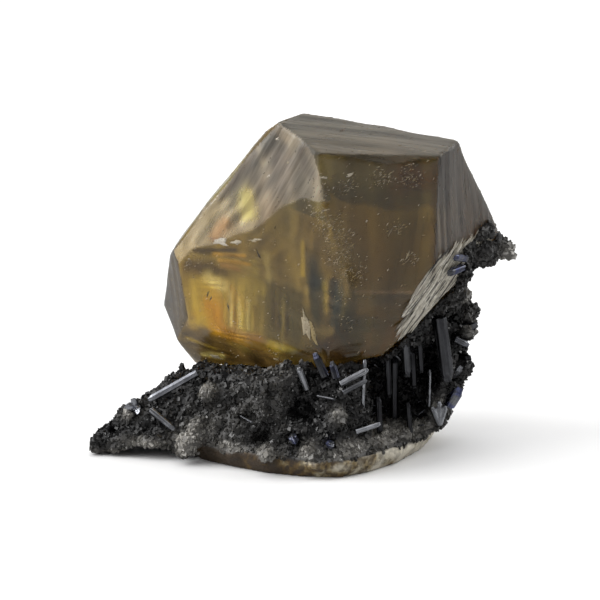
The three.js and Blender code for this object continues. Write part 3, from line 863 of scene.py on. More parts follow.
def dress(piece, material, slot, *stands_for):
    """Gives a piece its material, and lets it ride on the specimen; the slot is not used."""
    piece.data.materials.clear()
    piece.data.materials.append(material)
    if stands_for:
        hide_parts(*stands_for)
    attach(piece, "root")


dress(crystal, make_calcite(), "calcite", "calcite_crystal")

# %% [markdown]
# ## Scattering small things over a skin
# Grains on the rock, bruises on the crystal and splinters on its pale side are all the same job: one
# small shape, set many times on a surface, each time with another size and turn. Geometry Nodes do
# that well. One tree serves them all. It keeps the copies a set distance apart, so that they look
# grown and not thrown, and stores a random tone on each for the materials.

# %% Scatter tree
SCATTER_INPUTS = {
    "Geometry": "Geometry", "Shape": "Object", "Per square metre": "Float", "Spacing": "Float",
    "Smallest": "Vector", "Largest": "Vector", "Lean": "Float", "Turn": "Float", "Sink": "Float",
    "Seed": "Int", "Material": "Material",
}
# The inputs that are lengths, which are given in mm
LENGTHS = ("Spacing", "Smallest", "Largest", "Sink")
# Added to the seed of the places for the seeds of the sizes and of the tones
SIZE_SEED = 11.0
TONE_SEED = 23.0


def named(tree, name, kind="FLOAT"):
    """A Named Attribute node's value in a Geometry Nodes tree."""
    made = node(tree, "GeometryNodeInputNamedAttribute", {"Name": name}, data_type=kind)
    return made.outputs["Attribute"]


def random_vector(tree, low, high, seed):
    """A random vector for each point, between two sockets."""
    inputs = {0: low, 1: high, "Seed": seed}
    return node(tree, "FunctionNodeRandomValue", inputs, data_type="FLOAT_VECTOR").outputs[0]


def make_scatter_tree():
    """Copies of a shape over a mesh, thick where its 'cover' is high, lying along its 'run'."""
    tree, start, end = new_group("scatter", "GeometryNodeTree", SCATTER_INPUTS, {"Geometry": "Geometry"})
    given = start.outputs
    spread = node(tree, "GeometryNodeDistributePointsOnFaces", {
        "Mesh": given["Geometry"],
        "Distance Min": given["Spacing"],
        "Density Max": given["Per square metre"],
        "Density Factor": named(tree, "cover"),
        "Seed": given["Seed"],
    }, distribute_method="POISSON").outputs

    upright = node(tree, "FunctionNodeAlignRotationToVector", {"Vector": spread["Normal"]}, axis="Z")
    along = node(tree, "FunctionNodeAlignRotationToVector", {
        "Rotation": upright,
        "Vector": named(tree, "run", "FLOAT_VECTOR"),
    }, axis="X", pivot_axis="Z")
    most = node(tree, "ShaderNodeCombineXYZ", {"X": given["Lean"], "Y": given["Lean"], "Z": given["Turn"]})
    least = node(tree, "ShaderNodeVectorMath", {0: most, "Scale": -1}, operation="SCALE")
    turn = random_vector(tree, least, most, given["Seed"])
    turned = node(tree, "FunctionNodeRotateRotation", {
        "Rotation": along,
        "Rotate By": node(tree, "FunctionNodeEulerToRotation", {0: turn}),
    }, rotation_space="LOCAL")

    rise = maths(tree, "MULTIPLY", given["Sink"], -1.0)
    lift = node(tree, "ShaderNodeVectorMath", {0: spread["Normal"], "Scale": rise}, operation="SCALE")
    placed = node(tree, "GeometryNodeSetPosition", {"Geometry": spread["Points"], "Offset": lift})
    size_seed = maths(tree, "ADD", given["Seed"], SIZE_SEED)
    shape = node(tree, "GeometryNodeObjectInfo", {"Object": given["Shape"]})
    copies = node(tree, "GeometryNodeInstanceOnPoints", {
        "Points": placed,
        "Instance": shape.outputs["Geometry"],
        "Rotation": turned,
        "Scale": random_vector(tree, given["Smallest"], given["Largest"], size_seed),
    })

    tone_seed = maths(tree, "ADD", given["Seed"], TONE_SEED)
    tone = node(tree, "FunctionNodeRandomValue", {"Seed": tone_seed}, data_type="FLOAT")
    toned = node(tree, "GeometryNodeStoreNamedAttribute", {
        "Geometry": copies,
        "Name": "tone",
        "Value": tone.outputs[1],
    }, domain="INSTANCE")
    realized = node(tree, "GeometryNodeRealizeInstances", {0: toned})
    finished = {"Geometry": realized, "Material": given["Material"]}
    fill(tree, end, {"Geometry": node(tree, "GeometryNodeSetMaterial", finished)})
    return tree


scatter_tree = make_scatter_tree()
print("scatter tree:", len(scatter_tree.nodes), "nodes")


# %% Pieces from the scatter tree
def scatter(name, skin_mesh, material, slot, **values):
    """Adds a piece: copies over a mesh. The values are the other inputs of the scatter tree."""
    made = add_object(name, skin_mesh.copy())
    modifier = made.modifiers.new("scatter", "NODES")
    modifier.node_group = scatter_tree
    sockets = {s.name: s for s in scatter_tree.interface.items_tree if s.in_out == "INPUT"}
    modifier[sockets["Material"].identifier] = material
    for title, value in values.items():
        value = np.multiply(value, MM).tolist() if title in LENGTHS else value
        modifier[sockets[title.replace("_", " ")].identifier] = value
    bake_modifiers(made)
    write_points(made.data, np.clip(read_points(made.data), *cad_box))
    print(name + ":", len(made.data.polygons), "faces")
    dress(made, material, slot)


def hidden_shape(name, corners, faces):
    """A small base shape for scattering, kept out of the scene."""
    return bpy.data.objects.new(name, new_mesh(name, corners, faces))


def ring_faces(rings, sides):
    """The faces between the corners of stacked rings."""
    faces = []
    for first in range(0, (rings - 1) * sides, sides):
        for side in range(sides):
            a, b = first + side, first + (side + 1) % sides
            faces.append((a, b, b + sides, a + sides))
    return faces


def skin_with(mesh, **measures):
    """A copy of a skin with measures of its own."""
    mesh = mesh.copy()
    store(mesh, **measures)
    return mesh


# %% [markdown]
# ## The rock and its druse
# The crystal sits on a crust of tiny dark crystals, a druse, over a core of dark rock. From a step
# away it sparkles, because each grain has flat faces that catch the light one at a time. A bump
# texture never does that, so the grains are real: thousands of small faceted crystals scattered
# over the rock's skin. The skin under them is the solid, roughened. The sole of the specimen is
# bare: smooth brown to tan stone, with a paler crust just above it.

# %% Rock skin
ROCK_VOXEL = 0.36 * MM
SOLE_TOP = 2.8
TONGUE_END = -15.6
TONGUE_FADE = 0.8
# How the upper edge of the bare sole runs in mm: its waves, then from which x, over how many mm and
# by how much it climbs, and drops again
SOLE_WAVES = 0.35
SOLE_CLIMB = (0, 8, 0.6)
SOLE_DROP = (9, 7, 1.4)
SKIN_LUMPS = 0.10
BIG_LUMPS = 0.30
# What is taken off under the lumps and under the creased big lumps, so that they don't stand proud
LUMPS_SUNK = 0.16
CREASES_SUNK = 0.7
CONTACT_SINK = 1.3
CONTACT_REACH = 2.2
CONTACT_END = 6
CONTACT_FADE = 4
ARCH_FROM, ARCH_TO, ARCH_HEIGHT = -27.6, -16.9, 1.9
BARE_FADE = 0.3
REST_FADE = 0.3
BOX_MARGIN = 0.02
ROCK_SEED = 11

# Where the rock is fuller or leaner than its solid: place, reach and height in mm
ROCK_TRIMS = [
    ((-18.3, 6.4, 11.8), 2.6, -1.3),
    ((23.0, -2.4, 25.8), 1.8, -0.8),
    ((24.9, -0.8, 18.8), 1.6, 0.9),
    ((22.8, 0.5, 10.0), 2.6, 0.5),
    ((21.2, -0.5, 6.0), 2.0, -0.6),
    ((26.6, -2.4, 32.0), 1.7, 0.5),
    ((-14.8, 2.0, 12.3), 1.8, -0.6),
    ((-16.2, -8.0, 3.4), 2.2, 0.6),
    ((-5.1, -13.0, 3.2), 1.7, 0.5),
    ((0.9, -13.6, 3.6), 1.2, 0.4),
    ((-0.2, -9.4, 8.8), 2.8, -0.9),
    ((-6.0, -11.2, 5.8), 2.2, -0.7),
    ((-10.0, -6.0, 9.5), 2.0, -0.5),
    ((-2.6, -8.6, 12.0), 1.8, 0.4),
    ((-13.4, -5.9, 10.6), 1.6, 0.4),
    ((5.0, -11.6, 8.6), 1.6, 0.5),
    ((-11.0, -8.8, 6.4), 1.6, 0.45),
]


# %% Shaping the skin of the rock
def climb(values, start, length, height=1):
    """0 up to a start, then climbing evenly over a length to a height."""
    return height * unit((values - start) / length)


rock = solid_copy("rock_skin", "matrix_rock")
remesh(rock, ROCK_VOXEL)
stone = read_points(rock.data)
rng = np.random.default_rng(ROCK_SEED)
low, high = (np.array(corner) / MM for corner in cad_box)
rightwards = stone[:, 0] / MM
sole_top = SOLE_TOP + SOLE_WAVES * lumps(rng, stone, 0.5) + climb(rightwards, *SOLE_CLIMB)
sole_top -= climb(rightwards, *SOLE_DROP)
bare = unit((sole_top - stone[:, 2] / MM) / BARE_FADE)
bare *= climb(rightwards, TONGUE_END, TONGUE_FADE)
rough = SKIN_LUMPS * (lumps(rng, stone, 2.2, 30) + 0.6 * lumps(rng, stone, 5.0, 30)) - LUMPS_SUNK
billow = np.abs(lumps(rng, stone, 1.5, 30))
rough += BIG_LUMPS * (billow - CREASES_SUNK)
near_crystal = bell(height_above_crystal(stone) / MM / CONTACT_REACH)
near_crystal *= unit((CONTACT_END - rightwards) / CONTACT_FADE)
rough -= CONTACT_SINK * near_crystal
for place, reach, height in ROCK_TRIMS:
    rough += height * nearness(stone, place, reach)
rough = rough * (1 - bare) + bare * (0.05 * lumps(rng, stone, 0.9) - 0.06)
outward = read_points(rock.data, "normal")
resting = unit(stone[:, 2] / MM / REST_FADE)
stone = stone + outward * (rough * resting * MM)[:, None]
span = climb(stone[:, 0] / MM, ARCH_FROM, ARCH_TO - ARCH_FROM)
arch = ARCH_HEIGHT * MM * np.sin(math.pi * span) ** 0.7 * (1 + 0.2 * lumps(rng, stone, 1.2))
stone[:, 2] = np.where(stone[:, 2] < arch, arch + 0.1 * (stone[:, 2] - arch), stone[:, 2])
stone = np.clip(stone, (low + BOX_MARGIN) * MM, (high - BOX_MARGIN) * MM)
write_points(rock.data, stone)
print("rock skin:", len(rock.data.polygons), "quads")


# %% Rock measures
def blob(points, centre, reach, strength=1):
    """A strength at a centre, falling off smoothly, with its own reach along each axis; all in mm."""
    return strength * bell(np.linalg.norm((points / MM - np.array(centre)) / np.array(reach), axis=1))


def spotted(points, spots):
    """The strongest of several spots at each point."""
    return np.max([blob(points, *spot) for spot in spots], axis=0)


# Pale, glassy spots of the crust, and places with painted shade: the hollows between the prisms
# and under the crystal, with the tongue at the far left made darker too; centre and reach in mm
PALE_SPOTS = [
    ((-16.3, -7.4, 3.6), (2.6, 3.0, 2.8)),
    ((-14.6, -7.8, 5.4), (2.0, 2.4, 1.5)),
    ((-10.7, -9.5, 3.1), (3.6, 2.5, 0.9)),
    ((-22.6, -5.0, 2.4), (4.2, 2.5, 0.7)),
    ((-5.1, -12.6, 3.2), (1.9, 2.0, 1.5)),
    ((0.9, -13.4, 3.8), (1.3, 2.0, 1.3)),
    ((-13.4, -5.9, 10.6), (1.5, 1.5, 1.0)),
    ((11.2, -5.9, 4.3), (4.0, 2.5, 0.8)),
    ((6.0, -11.2, 4.2), (2.6, 2.0, 1.0)),
    ((17.2, -3.0, 4.2), (2.6, 2.5, 0.8)),
    ((19.8, -3.1, 6.4), (1.3, 1.6, 2.2)),
    ((24.2, 1.9, 22.5), (2.0, 2.4, 1.1)),
    ((24.7, -0.7, 18.8), (1.5, 1.8, 1.4)),
    ((29.4, 1.0, 28.8), (1.7, 2.2, 1.8)),
    ((12.3, -7.9, 3.6), (4.4, 2.6, 0.8)),
    ((-24.8, -2.2, 6.6), (1.6, 1.6, 1.3)),
    ((5.0, -11.6, 8.6), (1.0, 1.2, 1.0)),
]
PAINTED_SHADE_PLACES = [
    ((15.5, -1.0, 10.0), (5.0, 6.5, 6.0)),
    ((-0.2, -8.8, 8.8), (3.8, 3.2, 2.5)),
    ((-6.0, -10.8, 5.8), (3.2, 2.8, 2.0)),
    ((-23.6, -3.8, 4.8), (4.0, 3.0, 1.6)),
    ((-10.0, -6.0, 9.5), (2.4, 2.4, 1.4)),
    ((21.8, 0.0, 19.4), (1.6, 4.5, 2.0)),
    ((-28.0, -2.6, 3.4), (4.0, 4.0, 2.6)),
    ((-10.0, -3.0, 12.2), (5.0, 5.0, 1.6)),
]

# %% Measures on the rock
# The middle of the pale crust over the sole: at these x these heights, and its width, in mm
CRUST_X = (-28, -22, -17, -14)
CRUST_Z = (0.3, 2.2, 2.4, SOLE_TOP + 0.8)
CRUST_WIDTH = 0.8
# How wide the painted shade along the creases between the big lumps is
CREASE_SHADE_WIDTH = 0.22
# How far the painted shade beside and under the crystal reaches, and how high the lowest grains sit, in mm
SHADE_REACH = 1.2
GRAINS_FROM = 0.5

depth_below = height_above_crystal(stone) / MM
z = stone[:, 2] / MM
edge_height = np.interp(stone[:, 0] / MM, CRUST_X, CRUST_Z)
edge_height += sole_top - SOLE_TOP
pale = bell((z - edge_height) / CRUST_WIDTH) * unit(0.75 + lumps(rng, stone, 0.35))
pale = np.maximum(pale, spotted(stone, PALE_SPOTS))
pale = np.maximum(pale, 0.12 * unit(lumps(rng, stone, 0.3) - 0.4))
# Painted shade: darker in the listed hollows, along the creases between the big lumps and just under the
# crystal, less so on the pale crust
deep = np.maximum(spotted(stone, PAINTED_SHADE_PLACES), 0.8 * bell(billow / CREASE_SHADE_WIDTH))
deep = np.maximum(deep * (1 - 0.7 * pale), 0.7 * bell(depth_below / SHADE_REACH))
cover = (1 - bare) * unit(depth_below / 0.5 - 0.4 - 1.2 * near_crystal) * (z > GRAINS_FROM)
store(rock.data, pale=pale, deep=deep, bare=bare, cover=cover, run=(0.0, 0.0, 1.0))


# %% Rock material
# The bare sole from the left to the right
SOLE_TONES = [
    (0.0, (0.034, 0.021, 0.008)), (0.35, (0.12, 0.072, 0.020)), (0.5, (0.27, 0.20, 0.09)),
    (0.7, (0.48, 0.42, 0.30)), (1.0, (0.66, 0.61, 0.50)),
]


def make_rock():
    """Black rock; where it is bare, smooth stone from dark brown to tan and cream."""
    material, tree, shader = new_material("rock_stone")
    crust = mix(tree, attribute(tree, "pale"), (0.010, 0.009, 0.009), (0.20, 0.19, 0.175))
    # Painted shade: the crust goes near black in the hollows, along the creases and under the crystal
    crust = mix(tree, attribute(tree, "deep"), crust, (0.004, 0.004, 0.0045))
    place = node(tree, "ShaderNodeTexCoord").outputs["Object"]
    split = node(tree, "ShaderNodeSeparateXYZ", {0: place})
    rightwards = scaled(tree, split.outputs["X"], 1 / (22 * MM), 0.35)
    blotch = maths(tree, "SUBTRACT", noise_at(tree, 0.35, 3, 2.2), 0.5)
    share = maths(tree, "ADD", rightwards, blotch, clamp=True)
    pockets = maths(tree, "MULTIPLY", noise_at(tree, 1.1, 5, 8), maths(tree, "SUBTRACT", 1.3, share))
    sole = mix(tree, pockets, ramp(tree, share, SOLE_TONES), (0.045, 0.028, 0.014))
    fill(tree, shader, {
        "Base Color": mix(tree, attribute(tree, "bare"), crust, sole),
        "Roughness": scaled(tree, noise_at(tree, 0.8), 0.25, 0.4),
    })
    add_bump(tree, shader, noise_at(tree, 2.5, 5, 2), 0.5, 0.15 * MM)
    return material


dress(rock, make_rock(), "rock", "matrix_rock")

# %% Druse grains
GRAIN_SIDES = 5
# Rings of the grain from its foot to its blunt point: height and radius
GRAIN_RINGS = ((-0.5, 0.34), (0.1, 0.5), (0.42, 0.2))
GRAIN_DEPTH = 0.85
GRAIN_TONES = [(0.0, 0.0035), (0.6, 0.008), (0.9, 0.019), (1.0, 0.065)]
PALE_TONES = [(0.0, (0.14, 0.132, 0.118)), (0.6, (0.32, 0.305, 0.275)), (1.0, (0.56, 0.54, 0.50))]


def ringed_shape(name, rings, depth):
    """A five-sided crystal of stacked rings, one unit wide and of some depth, closed at both ends."""
    corners = []
    for height, radius in rings:
        for side in range(GRAIN_SIDES):
            a = 2 * math.pi * side / GRAIN_SIDES
            corners.append((radius * math.cos(a), radius * math.sin(a) * depth, height))
    foot = tuple(range(GRAIN_SIDES))
    top = tuple(len(corners) - GRAIN_SIDES + i for i in foot)
    return hidden_shape(name, corners, [foot[::-1], top] + ring_faces(len(rings), GRAIN_SIDES))


def blocky_grain():
    """A skewed block, as calcite splits, one unit wide."""
    corners = []
    for x, y, z in ((0, 0, 0), (1, 0, 0), (1, 1, 0), (0, 1, 0), (0, 0, 1), (1, 0, 1), (1, 1, 1), (0, 1, 1)):
        corners.append((x + 0.25 * y - 0.62, y + 0.2 * z - 0.6, 0.9 * z + 0.15 * x - 0.5))
    faces = [(3, 2, 1, 0), (4, 5, 6, 7), (0, 1, 5, 4), (1, 2, 6, 5), (2, 3, 7, 6), (3, 0, 4, 7)]
    return hidden_shape("blocky_grain", corners, faces)


# %% Druse material
def make_druse():
    """Glassy grains, nearly black to pale grey, each with its own tone and gloss."""
    material, tree, shader = new_material("rock_druse")
    tone = attribute(tree, "tone")
    dark = ramp(tree, tone, [(at, (v * 1.04, v, v * 0.99)) for at, v in GRAIN_TONES])
    patches = ramp(tree, noise_at(tree, 0.28, 2, 4), [(0.25, 0.25), (0.8, 1.2)])
    mottled = mix(tree, 1, dark, patches, "MULTIPLY")
    base = mix(tree, attribute(tree, "pale"), mottled, ramp(tree, tone, PALE_TONES))
    gloss = maths(tree, "FRACT", maths(tree, "MULTIPLY", tone, 7.3))
    # Painted shade: the grains go near black in the hollows, along the creases and under the crystal
    fill(tree, shader, {
        "Base Color": mix(tree, attribute(tree, "deep"), base, (0.005, 0.005, 0.0055)),
        "Roughness": scaled(tree, gloss, 0.4, 0.12),
        "Specular IOR Level": 0.34,
    })
    return material


# %% The druse
pointed = ringed_shape("pointed_grain", GRAIN_RINGS, GRAIN_DEPTH)
# name: its shape, the spacing of its grains, their smallest and largest size in mm, and a seed
GRAINS = {
    "druse_pointed": (pointed, 0.46, (0.34, 0.34, 0.40), (0.82, 0.78, 0.98), 3),
    "druse_blocky": (blocky_grain(), 0.68, (0.28, 0.28, 0.28), (0.80, 0.72, 0.72), 8),
}
druse = make_druse()
for name, (shape, spacing, small, large, seed) in GRAINS.items():
    scatter(
        name, rock.data, druse, "rock", Shape=shape, Per_square_metre=6 / MM ** 2, Spacing=spacing,
        Smallest=small, Largest=large, Lean=0.7, Turn=math.pi, Sink=0.05, Seed=seed,
    )

# %% [markdown]
# ## Chips, bruises and splinters of calcite
# Calcite is soft and splits along flat planes, so a crystal this size is never without marks. Larger
# chips show as white or honey-coloured flakes, knocks leave clusters of tiny bruises, and one side
# face has split into long pale splinters. All are thin pieces of the same stone set on its skin,
# paler than the body because the splitting leaves them full of cracks.

# %% Flake material
FLAKE_TONES = [
    (0.0, (0.03, 0.018, 0.008)), (0.3, (0.16, 0.10, 0.035)), (0.65, (0.38, 0.29, 0.13)),
    (1.0, (0.60, 0.54, 0.44)),
]


def make_flake(name, tones, clearness):
    """Cracked calcite: part clear, part scattering, its colour by the tone of each piece."""
    material, tree, shader = new_material(name)
    base = ramp(tree, attribute(tree, "tone"), tones)
    stain = maths(tree, "MULTIPLY", noise_at(tree, 1.5, 3, 4), 0.4)
    fill(tree, shader, {
        "Base Color": mix(tree, stain, base, (0.30, 0.25, 0.17), "MULTIPLY"),
        "Roughness": scaled(tree, noise_at(tree, 2.0), 0.3, 0.2),
        "Transmission Weight": clearness,
        "IOR": CALCITE_IOR,
    })
    return material


# %% Chips
# place in mm on the skin, length and width in mm, turn in degrees against the level, tone, lift in mm
CHIP_FLAKES = [
    ((-11.5, -0.6, 31.0), 5.4, 1.7, -4, 1.0, 0.06),
    ((-9.0, -2.2, 31.4), 2.8, 0.8, 10, 0.9, 0.04),
    ((-6.3, -4.0, 32.2), 3.2, 0.6, 14, 0.8, 0.03),
    ((-3.3, -6.9, 47.3), 1.1, 0.5, 30, 1.0, 0.02),
    ((-4.5, -5.9, 41.8), 1.2, 0.6, 35, 0.95, 0.02),
    ((-1.7, -7.9, 44.2), 0.7, 0.4, 40, 0.8, 0.02),
    ((2.9, -11.6, 42.8), 1.2, 0.6, -5, 0.95, 0.03),
    ((6.6, -11.1, 43.1), 1.7, 0.6, 28, 0.95, 0.02),
    ((9.0, -11.2, 36.5), 0.5, 0.35, 60, 1.0, 0.03),
    # A painted highlight: this pale flake low on the left stands for a glint along the crystal's lower edge
    ((-12.8, 5.6, 12.2), 3.6, 0.8, -4, 0.85, 0.02),
    ((-3.6, -2.9, 14.2), 1.6, 0.4, -6, 0.75, 0.02),
    ((0.6, -6.9, 20.4), 7.4, 2.0, 96, 0.80, 0.05),
    ((1.6, -7.6, 19.0), 4.6, 1.4, 104, 0.62, 0.03),
    ((-13.4, 1.9, 22.7), 1.9, 0.34, 60, 0.0, 0.0),
    ((-13.0, 1.8, 21.9), 1.4, 0.3, 58, 0.05, 0.0),
    ((-10.5, 0.3, 21.2), 1.8, 0.34, 100, 0.0, 0.0),
    ((-6.1, -4.2, 29.9), 1.8, 0.5, 110, 0.0, 0.0),
    ((5.9, -6.7, 48.4), 2.6, 0.5, 28, 0.12, 0.0),
    ((12.2, -10.9, 34.8), 2.2, 0.25, 62, 0.45, 0.0),
    ((13.4, -10.8, 35.2), 2.0, 0.2, 75, 0.4, 0.0),
    ((14.7, -10.8, 31.5), 1.5, 0.3, 70, 0.7, 0.02),
]
CHIP_CORNERS = 12
CHIP_SEED = 3
# The rings of a chip from its foot to its crown: share of its reach, and height over its lift in mm
CHIP_RINGS = ((1.0, -0.14), (0.92, -0.02), (0.4, 0.03))


# %% One piece for all the chips
def add_chip(work, tone_layer, rng, place, length, width, turn, tone, lift):
    """A low, jagged shard on the crystal's skin nearest to a place."""
    nearest = np.linalg.norm(skin / MM - np.array(place), axis=1).argmin()
    centre, normal = Vector(skin[nearest]), Vector(face_normals[owner[nearest]])
    level = Vector((0, 0, 1)).cross(normal).normalized()
    upward = normal.cross(level)
    a = math.radians(turn)
    ways = (level * math.cos(a) + upward * math.sin(a), upward * math.cos(a) - level * math.sin(a))
    rings = []
    reaches = rng.uniform(0.16, 0.56, CHIP_CORNERS)
    for share, height in CHIP_RINGS:
        ring = []
        for corner in range(CHIP_CORNERS):
            b = 2 * math.pi * corner / CHIP_CORNERS
            reach = share * reaches[corner]
            x, y = reach * length * math.cos(b), reach * width * math.sin(b)
            at = centre + ways[0] * x * MM + ways[1] * y * MM + normal * (lift + height) * MM
            ring.append(work.verts.new(at))
        rings.append(ring)
    for low_ring, high_ring in zip(rings, rings[1:]):
        for i in range(CHIP_CORNERS):
            j = (i + 1) % CHIP_CORNERS
            work.faces.new((low_ring[i], low_ring[j], high_ring[j], high_ring[i]))
    work.faces.new(rings[0][::-1])
    work.faces.new(rings[-1])
    for ring in rings:
        for corner in ring:
            corner[tone_layer] = tone


def make_chips():
    """All the chips as one piece."""
    work = bmesh.new()
    tone_layer = work.verts.layers.float.new("tone")
    rng = np.random.default_rng(CHIP_SEED)
    for chip in CHIP_FLAKES:
        add_chip(work, tone_layer, rng, *chip)
    bmesh.ops.recalc_face_normals(work, faces=work.faces)
    mesh = bpy.data.meshes.new("calcite_chips")
    work.to_mesh(mesh)
    work.free()
    return add_object("calcite_chips", mesh)


flake = make_flake("calcite_flake", FLAKE_TONES, 0.25)
dress(make_chips(), flake, "calcite")
print("chips:", len(CHIP_FLAKES))

# %% Bruises
# centre and reach in mm, and how thick the bruises lie
BRUISE_SPOTS = [
    ((3.2, -11.4, 37.5), (2.8, 2.0, 3.4), 0.75),
    ((5.6, -11.6, 32.6), (1.8, 2.0, 3.6), 0.6),
    ((6.8, -11.6, 28.0), (1.8, 2.0, 2.4), 0.7),
    ((12.6, -10.4, 43.0), (3.2, 2.0, 1.6), 0.9),
    ((13.0, -10.8, 34.6), (1.3, 2.0, 1.8), 0.5),
    ((14.8, -10.8, 31.4), (1.2, 2.0, 1.0), 0.8),
    ((6.6, -11.3, 41.0), (2.4, 2.0, 2.0), 0.3),
    ((8.1, -10.2, 21.6), (2.0, 2.0, 1.2), 0.5),
]
# How thick bruises lie anywhere else, and how far from the sides of the solids' box, in mm
STRAY_BRUISES = 0.02
BOX_GAP = 0.45
# How thick they lie along the edges of the faces at most, and how wide that strip is, in mm
EDGE_BRUISES = 0.5
EDGE_STRIP = 0.25


def flake_shape():
    """A thin pointed flake, one unit long and wide, lying flat."""
    corners = [(-0.5, 0, 0), (-0.1, -0.5, 0), (0.5, -0.1, 0), (0.15, 0.45, 0), (0, 0, 0.5), (0, 0, -0.5)]
    rim = [0, 1, 2, 3]
    faces = [(rim[i], rim[(i + 1) % 4], 4) for i in range(4)]
    faces += [(rim[(i + 1) % 4], rim[i], 5) for i in range(4)]
    return hidden_shape("flake", corners, faces)


# %% Scattered bruises
bruised = unit(spotted(skin, BRUISE_SPOTS) * (0.7 + 0.9 * lumps(rng, skin, 1.6)))
edges = EDGE_BRUISES * np.exp(-edge_gap / EDGE_STRIP) * unit(lumps(rng, skin, 0.9))
clear_of_box = ((skin / MM > low + BOX_GAP) & (skin / MM < high - BOX_GAP)).all(axis=1)
bruised = np.maximum(np.maximum(bruised, edges), STRAY_BRUISES) * clear_of_box
scatter(
    "calcite_bruises", skin_with(crystal.data, cover=bruised, run=(1.0, 0.0, 0.6)), flake, "calcite",
    Shape=flake_shape(), Per_square_metre=14 / MM ** 2, Spacing=0.14, Smallest=(0.18, 0.05, 0.05),
    Largest=(0.72, 0.15, 0.11), Lean=0.2, Turn=0.6, Sink=0.0, Seed=5,
)

# %% Splinters
SPLINTER_TONES = [
    (0.0, (0.02, 0.018, 0.014)), (0.14, (0.15, 0.135, 0.11)), (0.32, (0.56, 0.52, 0.43)),
    (1.0, (0.88, 0.84, 0.74)),
]
# Splinters lie on the pale face where a share that climbs over some mm from its two ends is past
# a least value, and so far from its sides in mm
SPLINTER_END = 2.6
SPLINTERS_FROM = 0.6
SPLINTER_MARGIN = 0.15


def splinter_shape():
    """A long thin splinter lying along the first axis, one unit long, wide and high."""
    corners = []
    for x, wide in ((-0.5, 0.15), (-0.3, 0.9), (0.2, 1.0), (0.42, 0.7), (0.5, 0.2)):
        for y, z in ((-0.5, -0.2), (0.5, -0.3), (0.3, 0.3), (-0.2, 0.5)):
            corners.append((x, y * wide, z * wide))
    return hidden_shape("splinter", corners, ring_faces(5, 4) + [(3, 2, 1, 0), (16, 17, 18, 19)])


# %% Scattered splinters
split = owner == FACES["pale_side"]
run = line_ways(face_normals[FACES["pale_side"]], FACE_LOOKS["pale_side"][1])[1]
lowest, highest = np.quantile(growth[split, 1], (0.01, 0.99))
above = climb(growth[:, 1], lowest, SPLINTER_END)
below = unit((highest - growth[:, 1]) / SPLINTER_END)
splinter_cover = split * (above * below > SPLINTERS_FROM) * (edge_gap > SPLINTER_MARGIN)
splinter = make_flake("calcite_splinter", SPLINTER_TONES, 0.1)
scatter(
    "calcite_splinters", skin_with(crystal.data, cover=splinter_cover, run=run), splinter, "calcite",
    Shape=splinter_shape(), Per_square_metre=12 / MM ** 2, Spacing=0.27, Smallest=(2.0, 0.12, 0.14),
    Largest=(6.4, 0.42, 0.36), Lean=0.02, Turn=0.05, Sink=-0.02, Seed=2,
)

# %% [markdown]
# ## Veils inside the crystal
# Inside, the stone is not even either. Old growth surfaces and cracks hang in it as thin veils: two
# smoky streaks behind the front face, golden and olive sheets low on the left and in the middle, a
# brown one low on the right and a pale one high on the left. Each is a thin closed sheet inside the
# body, seen through the skin, so it shifts against the skin when the specimen is turned.

# %% Veils
# centre in mm, half width and half height in mm, facing (azimuth, tilt), colour, strength
VEILS = [
    ((2.6, -6.6, 26.2), (1.5, 6.0), (-95, 0), (0.022, 0.028, 0.026), 0.9),
    ((6.6, -6.0, 23.6), (1.2, 4.6), (-80, 5), (0.026, 0.030, 0.026), 0.75),
    ((-10.8, 3.6, 20.6), (4.6, 4.6), (-120, -6), (1.00, 0.62, 0.11), 0.7),
    ((-5.4, 0.6, 16.2), (5.4, 1.4), (-110, 15), (0.95, 0.64, 0.12), 0.7),
    ((-1.8, -2.6, 21.0), (2.8, 5.4), (-105, 0), (0.62, 0.48, 0.15), 0.6),
    ((9.0, -6.4, 21.6), (2.0, 1.8), (-85, -20), (0.60, 0.42, 0.12), 0.7),
    ((-6.9, -2.2, 36.4), (2.0, 4.0), (-128, 4), (1.00, 0.90, 0.52), 0.8),
]
VEIL_GRID = 36
VEIL_THICKNESS = 0.06
VEIL_WAVE = 0.12
VEIL_SEED = 29


def add_veil(parts, rng, centre, half, facing, colour, strength):
    """Adds one wavy sheet: its corners, faces, tints and how dense it is at each corner."""
    normal = direction(*facing)
    side = np.cross((0, 0, 1), normal)
    side /= np.linalg.norm(side)
    upward = np.cross(normal, side)
    x, y = (axis.ravel() for axis in np.meshgrid(*2 * [np.linspace(-1, 1, VEIL_GRID)]))
    flat = np.column_stack([x * half[0], y * half[1]])
    wave = VEIL_WAVE * (sines(rng, flat[:, 0], 0.4, 1.2) + sines(rng, flat[:, 1], 0.3, 1.0))
    middle = np.array(centre) + np.outer(flat[:, 0], side) + np.outer(flat[:, 1], upward)
    middle += np.outer(wave, normal)
    streak = 0.7 + 0.25 * sines(rng, flat[:, 0], 1, 3) + 0.1 * sines(rng, flat[:, 1], 0.5, 2)
    soft = unit(1.3 * (1 - (x * x + y * y + 0.2 * sines(rng, x + y, 3, 8))))
    dense = strength * soft * unit(streak)
    first = sum(len(part) for part in parts["corners"])
    count = VEIL_GRID * VEIL_GRID
    for shift in (0.5, -0.5):
        parts["corners"].append(middle + normal * shift * VEIL_THICKNESS)
        parts["tint"].append(np.tile(colour, (count, 1)))
        parts["dense"].append(dense)
    grid = np.arange(count).reshape(VEIL_GRID, VEIL_GRID) + first
    quads = np.stack([grid[:-1, :-1], grid[:-1, 1:], grid[1:, 1:], grid[1:, :-1]], axis=-1).reshape(-1, 4)
    parts["faces"] += quads.tolist() + (quads[:, ::-1] + count).tolist()
    rim = np.concatenate([grid[0, :-1], grid[:-1, -1], grid[-1, :0:-1], grid[:0:-1, 0]])
    for a, b in zip(rim, np.roll(rim, -1)):
        parts["faces"].append([int(b), int(a), int(a) + count, int(b) + count])


